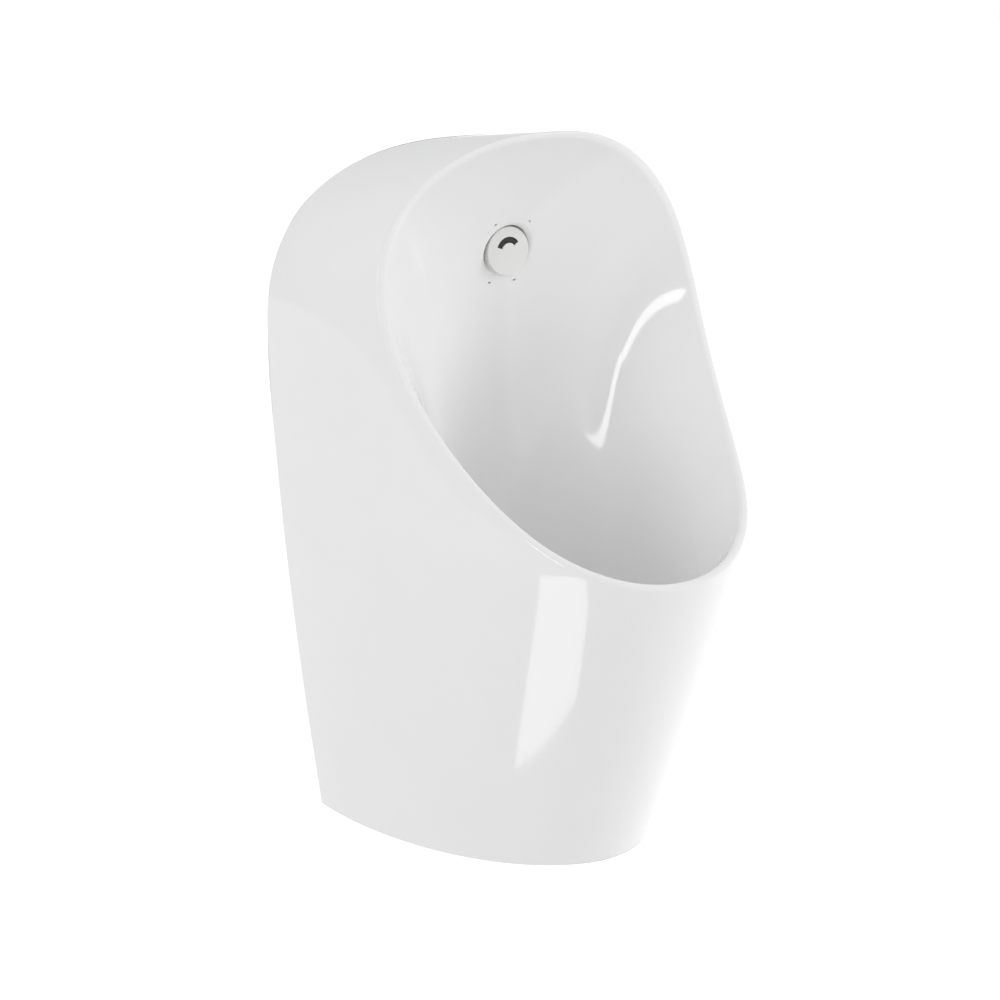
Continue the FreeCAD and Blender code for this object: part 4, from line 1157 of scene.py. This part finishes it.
@dataclass
class Studio:
    """Floor, light and camera. Lengths are metres, apart from those in the picture's pixels."""

    floor_height: float = -0.863
    floor_half: float = 12.0
    floor_colour: str = "E4E4E4"
    floor_roughness: float = 0.9
    floor_glow: float = 0.55
    sky_level: float = 0.72
    sky_seen: float = 1.0
    lamps: tuple[Lamp, ...] = LAMPS
    target: tuple[float, float, float] = (-0.0616, -0.1508, -0.1748)
    azimuth: float = -34.03
    elevation: float = 16.39
    distance: float = 1.7766
    focal_pixels: float = 2163.8
    frame_pixels: float = 1000.0
    offset_pixels: float = 4.3

    def paper(self) -> bpy.types.Material:
        """Builds a pale matt paper that looks white and still keeps its shadow.

        Returns:
            The material, which glows only for the camera and for reflections.
        """
        material = bpy.data.materials.new("white_floor")
        material.use_nodes = True
        tree = material.node_tree
        tree.nodes.clear()
        ray = add_node(tree, "ShaderNodeLightPath").outputs
        camera = add_node(tree, "ShaderNodeMath", {"operation": "MAXIMUM"}, {
            0: ray["Is Camera Ray"], 1: ray["Is Glossy Ray"]})
        seen = add_node(tree, "ShaderNodeMath", {"operation": "MAXIMUM"}, {
            0: camera.outputs[0], 1: ray["Is Transmission Ray"]})
        strength = add_node(tree, "ShaderNodeMath", {"operation": "MULTIPLY"}, {
            0: seen.outputs[0], 1: self.floor_glow})
        matt = add_node(tree, "ShaderNodeBsdfPrincipled", inputs={
            "Base Color": linear(self.floor_colour), "Roughness": self.floor_roughness})
        glow = add_node(tree, "ShaderNodeEmission", inputs={1: strength.outputs[0]})
        both = add_node(tree, "ShaderNodeAddShader", inputs={
            0: matt.outputs[0], 1: glow.outputs[0]})
        add_node(tree, "ShaderNodeOutputMaterial", inputs={0: both.outputs[0]})
        return material

    def floor(self) -> None:
        """Lays a wide floor under the object."""
        mesh = bpy.data.meshes.new("studio_floor")
        half = self.floor_half
        corners = [(x, y, self.floor_height)
                   for x, y in ((-half, -half), (half, -half), (half, half), (-half, half))]
        mesh.from_pydata(corners, [], [(0, 1, 2, 3)])
        mesh.materials.append(self.paper())
        piece = bpy.data.objects.new("studio_floor", mesh)
        bpy.context.scene.collection.objects.link(piece)

    def sky(self) -> None:
        """Even light from all round, white where the camera sees it."""
        world = bpy.data.worlds.new("studio")
        bpy.context.scene.world = world
        world.use_nodes = True
        tree = world.node_tree
        tree.nodes.clear()
        ray = add_node(tree, "ShaderNodeLightPath").outputs
        strength = add_node(tree, "ShaderNodeMapRange", inputs={
            0: ray["Is Camera Ray"], 3: self.sky_level, 4: self.sky_seen})
        back = add_node(tree, "ShaderNodeBackground", inputs={
            0: (1, 1, 1, 1), 1: strength.outputs[0]})
        add_node(tree, "ShaderNodeOutputWorld", inputs={0: back.outputs[0]})

    def camera(self) -> None:
        """Sets the camera where the photograph was taken from."""
        data = bpy.data.cameras.new("camera")
        data.lens = self.focal_pixels / self.frame_pixels * data.sensor_width
        data.shift_x = self.offset_pixels / self.frame_pixels
        camera = bpy.data.objects.new("camera", data)
        back = way_to(self.azimuth, self.elevation)
        camera.location = Vector(self.target) + back * self.distance
        camera.rotation_mode = "QUATERNION"
        camera.rotation_quaternion = (-back).to_track_quat("-Z", "Y")
        bpy.context.scene.collection.objects.link(camera)
        bpy.context.scene.camera = camera

    def build(self) -> None:
        """Builds the studio."""
        self.floor()
        self.sky()
        for lamp in self.lamps:
            lamp.build()
        self.camera()
        bpy.context.scene.view_settings.view_transform = "Standard"


def main() -> None:
    """Builds every sub-assembly and the studio."""
    logging.basicConfig(level=logging.INFO, format="%(message)s")
    for part in (CeramicBody(), SprayHead(), Outlet(), Fixings(), Studio()):
        part.build()


if __name__ == "__main__":
    main()
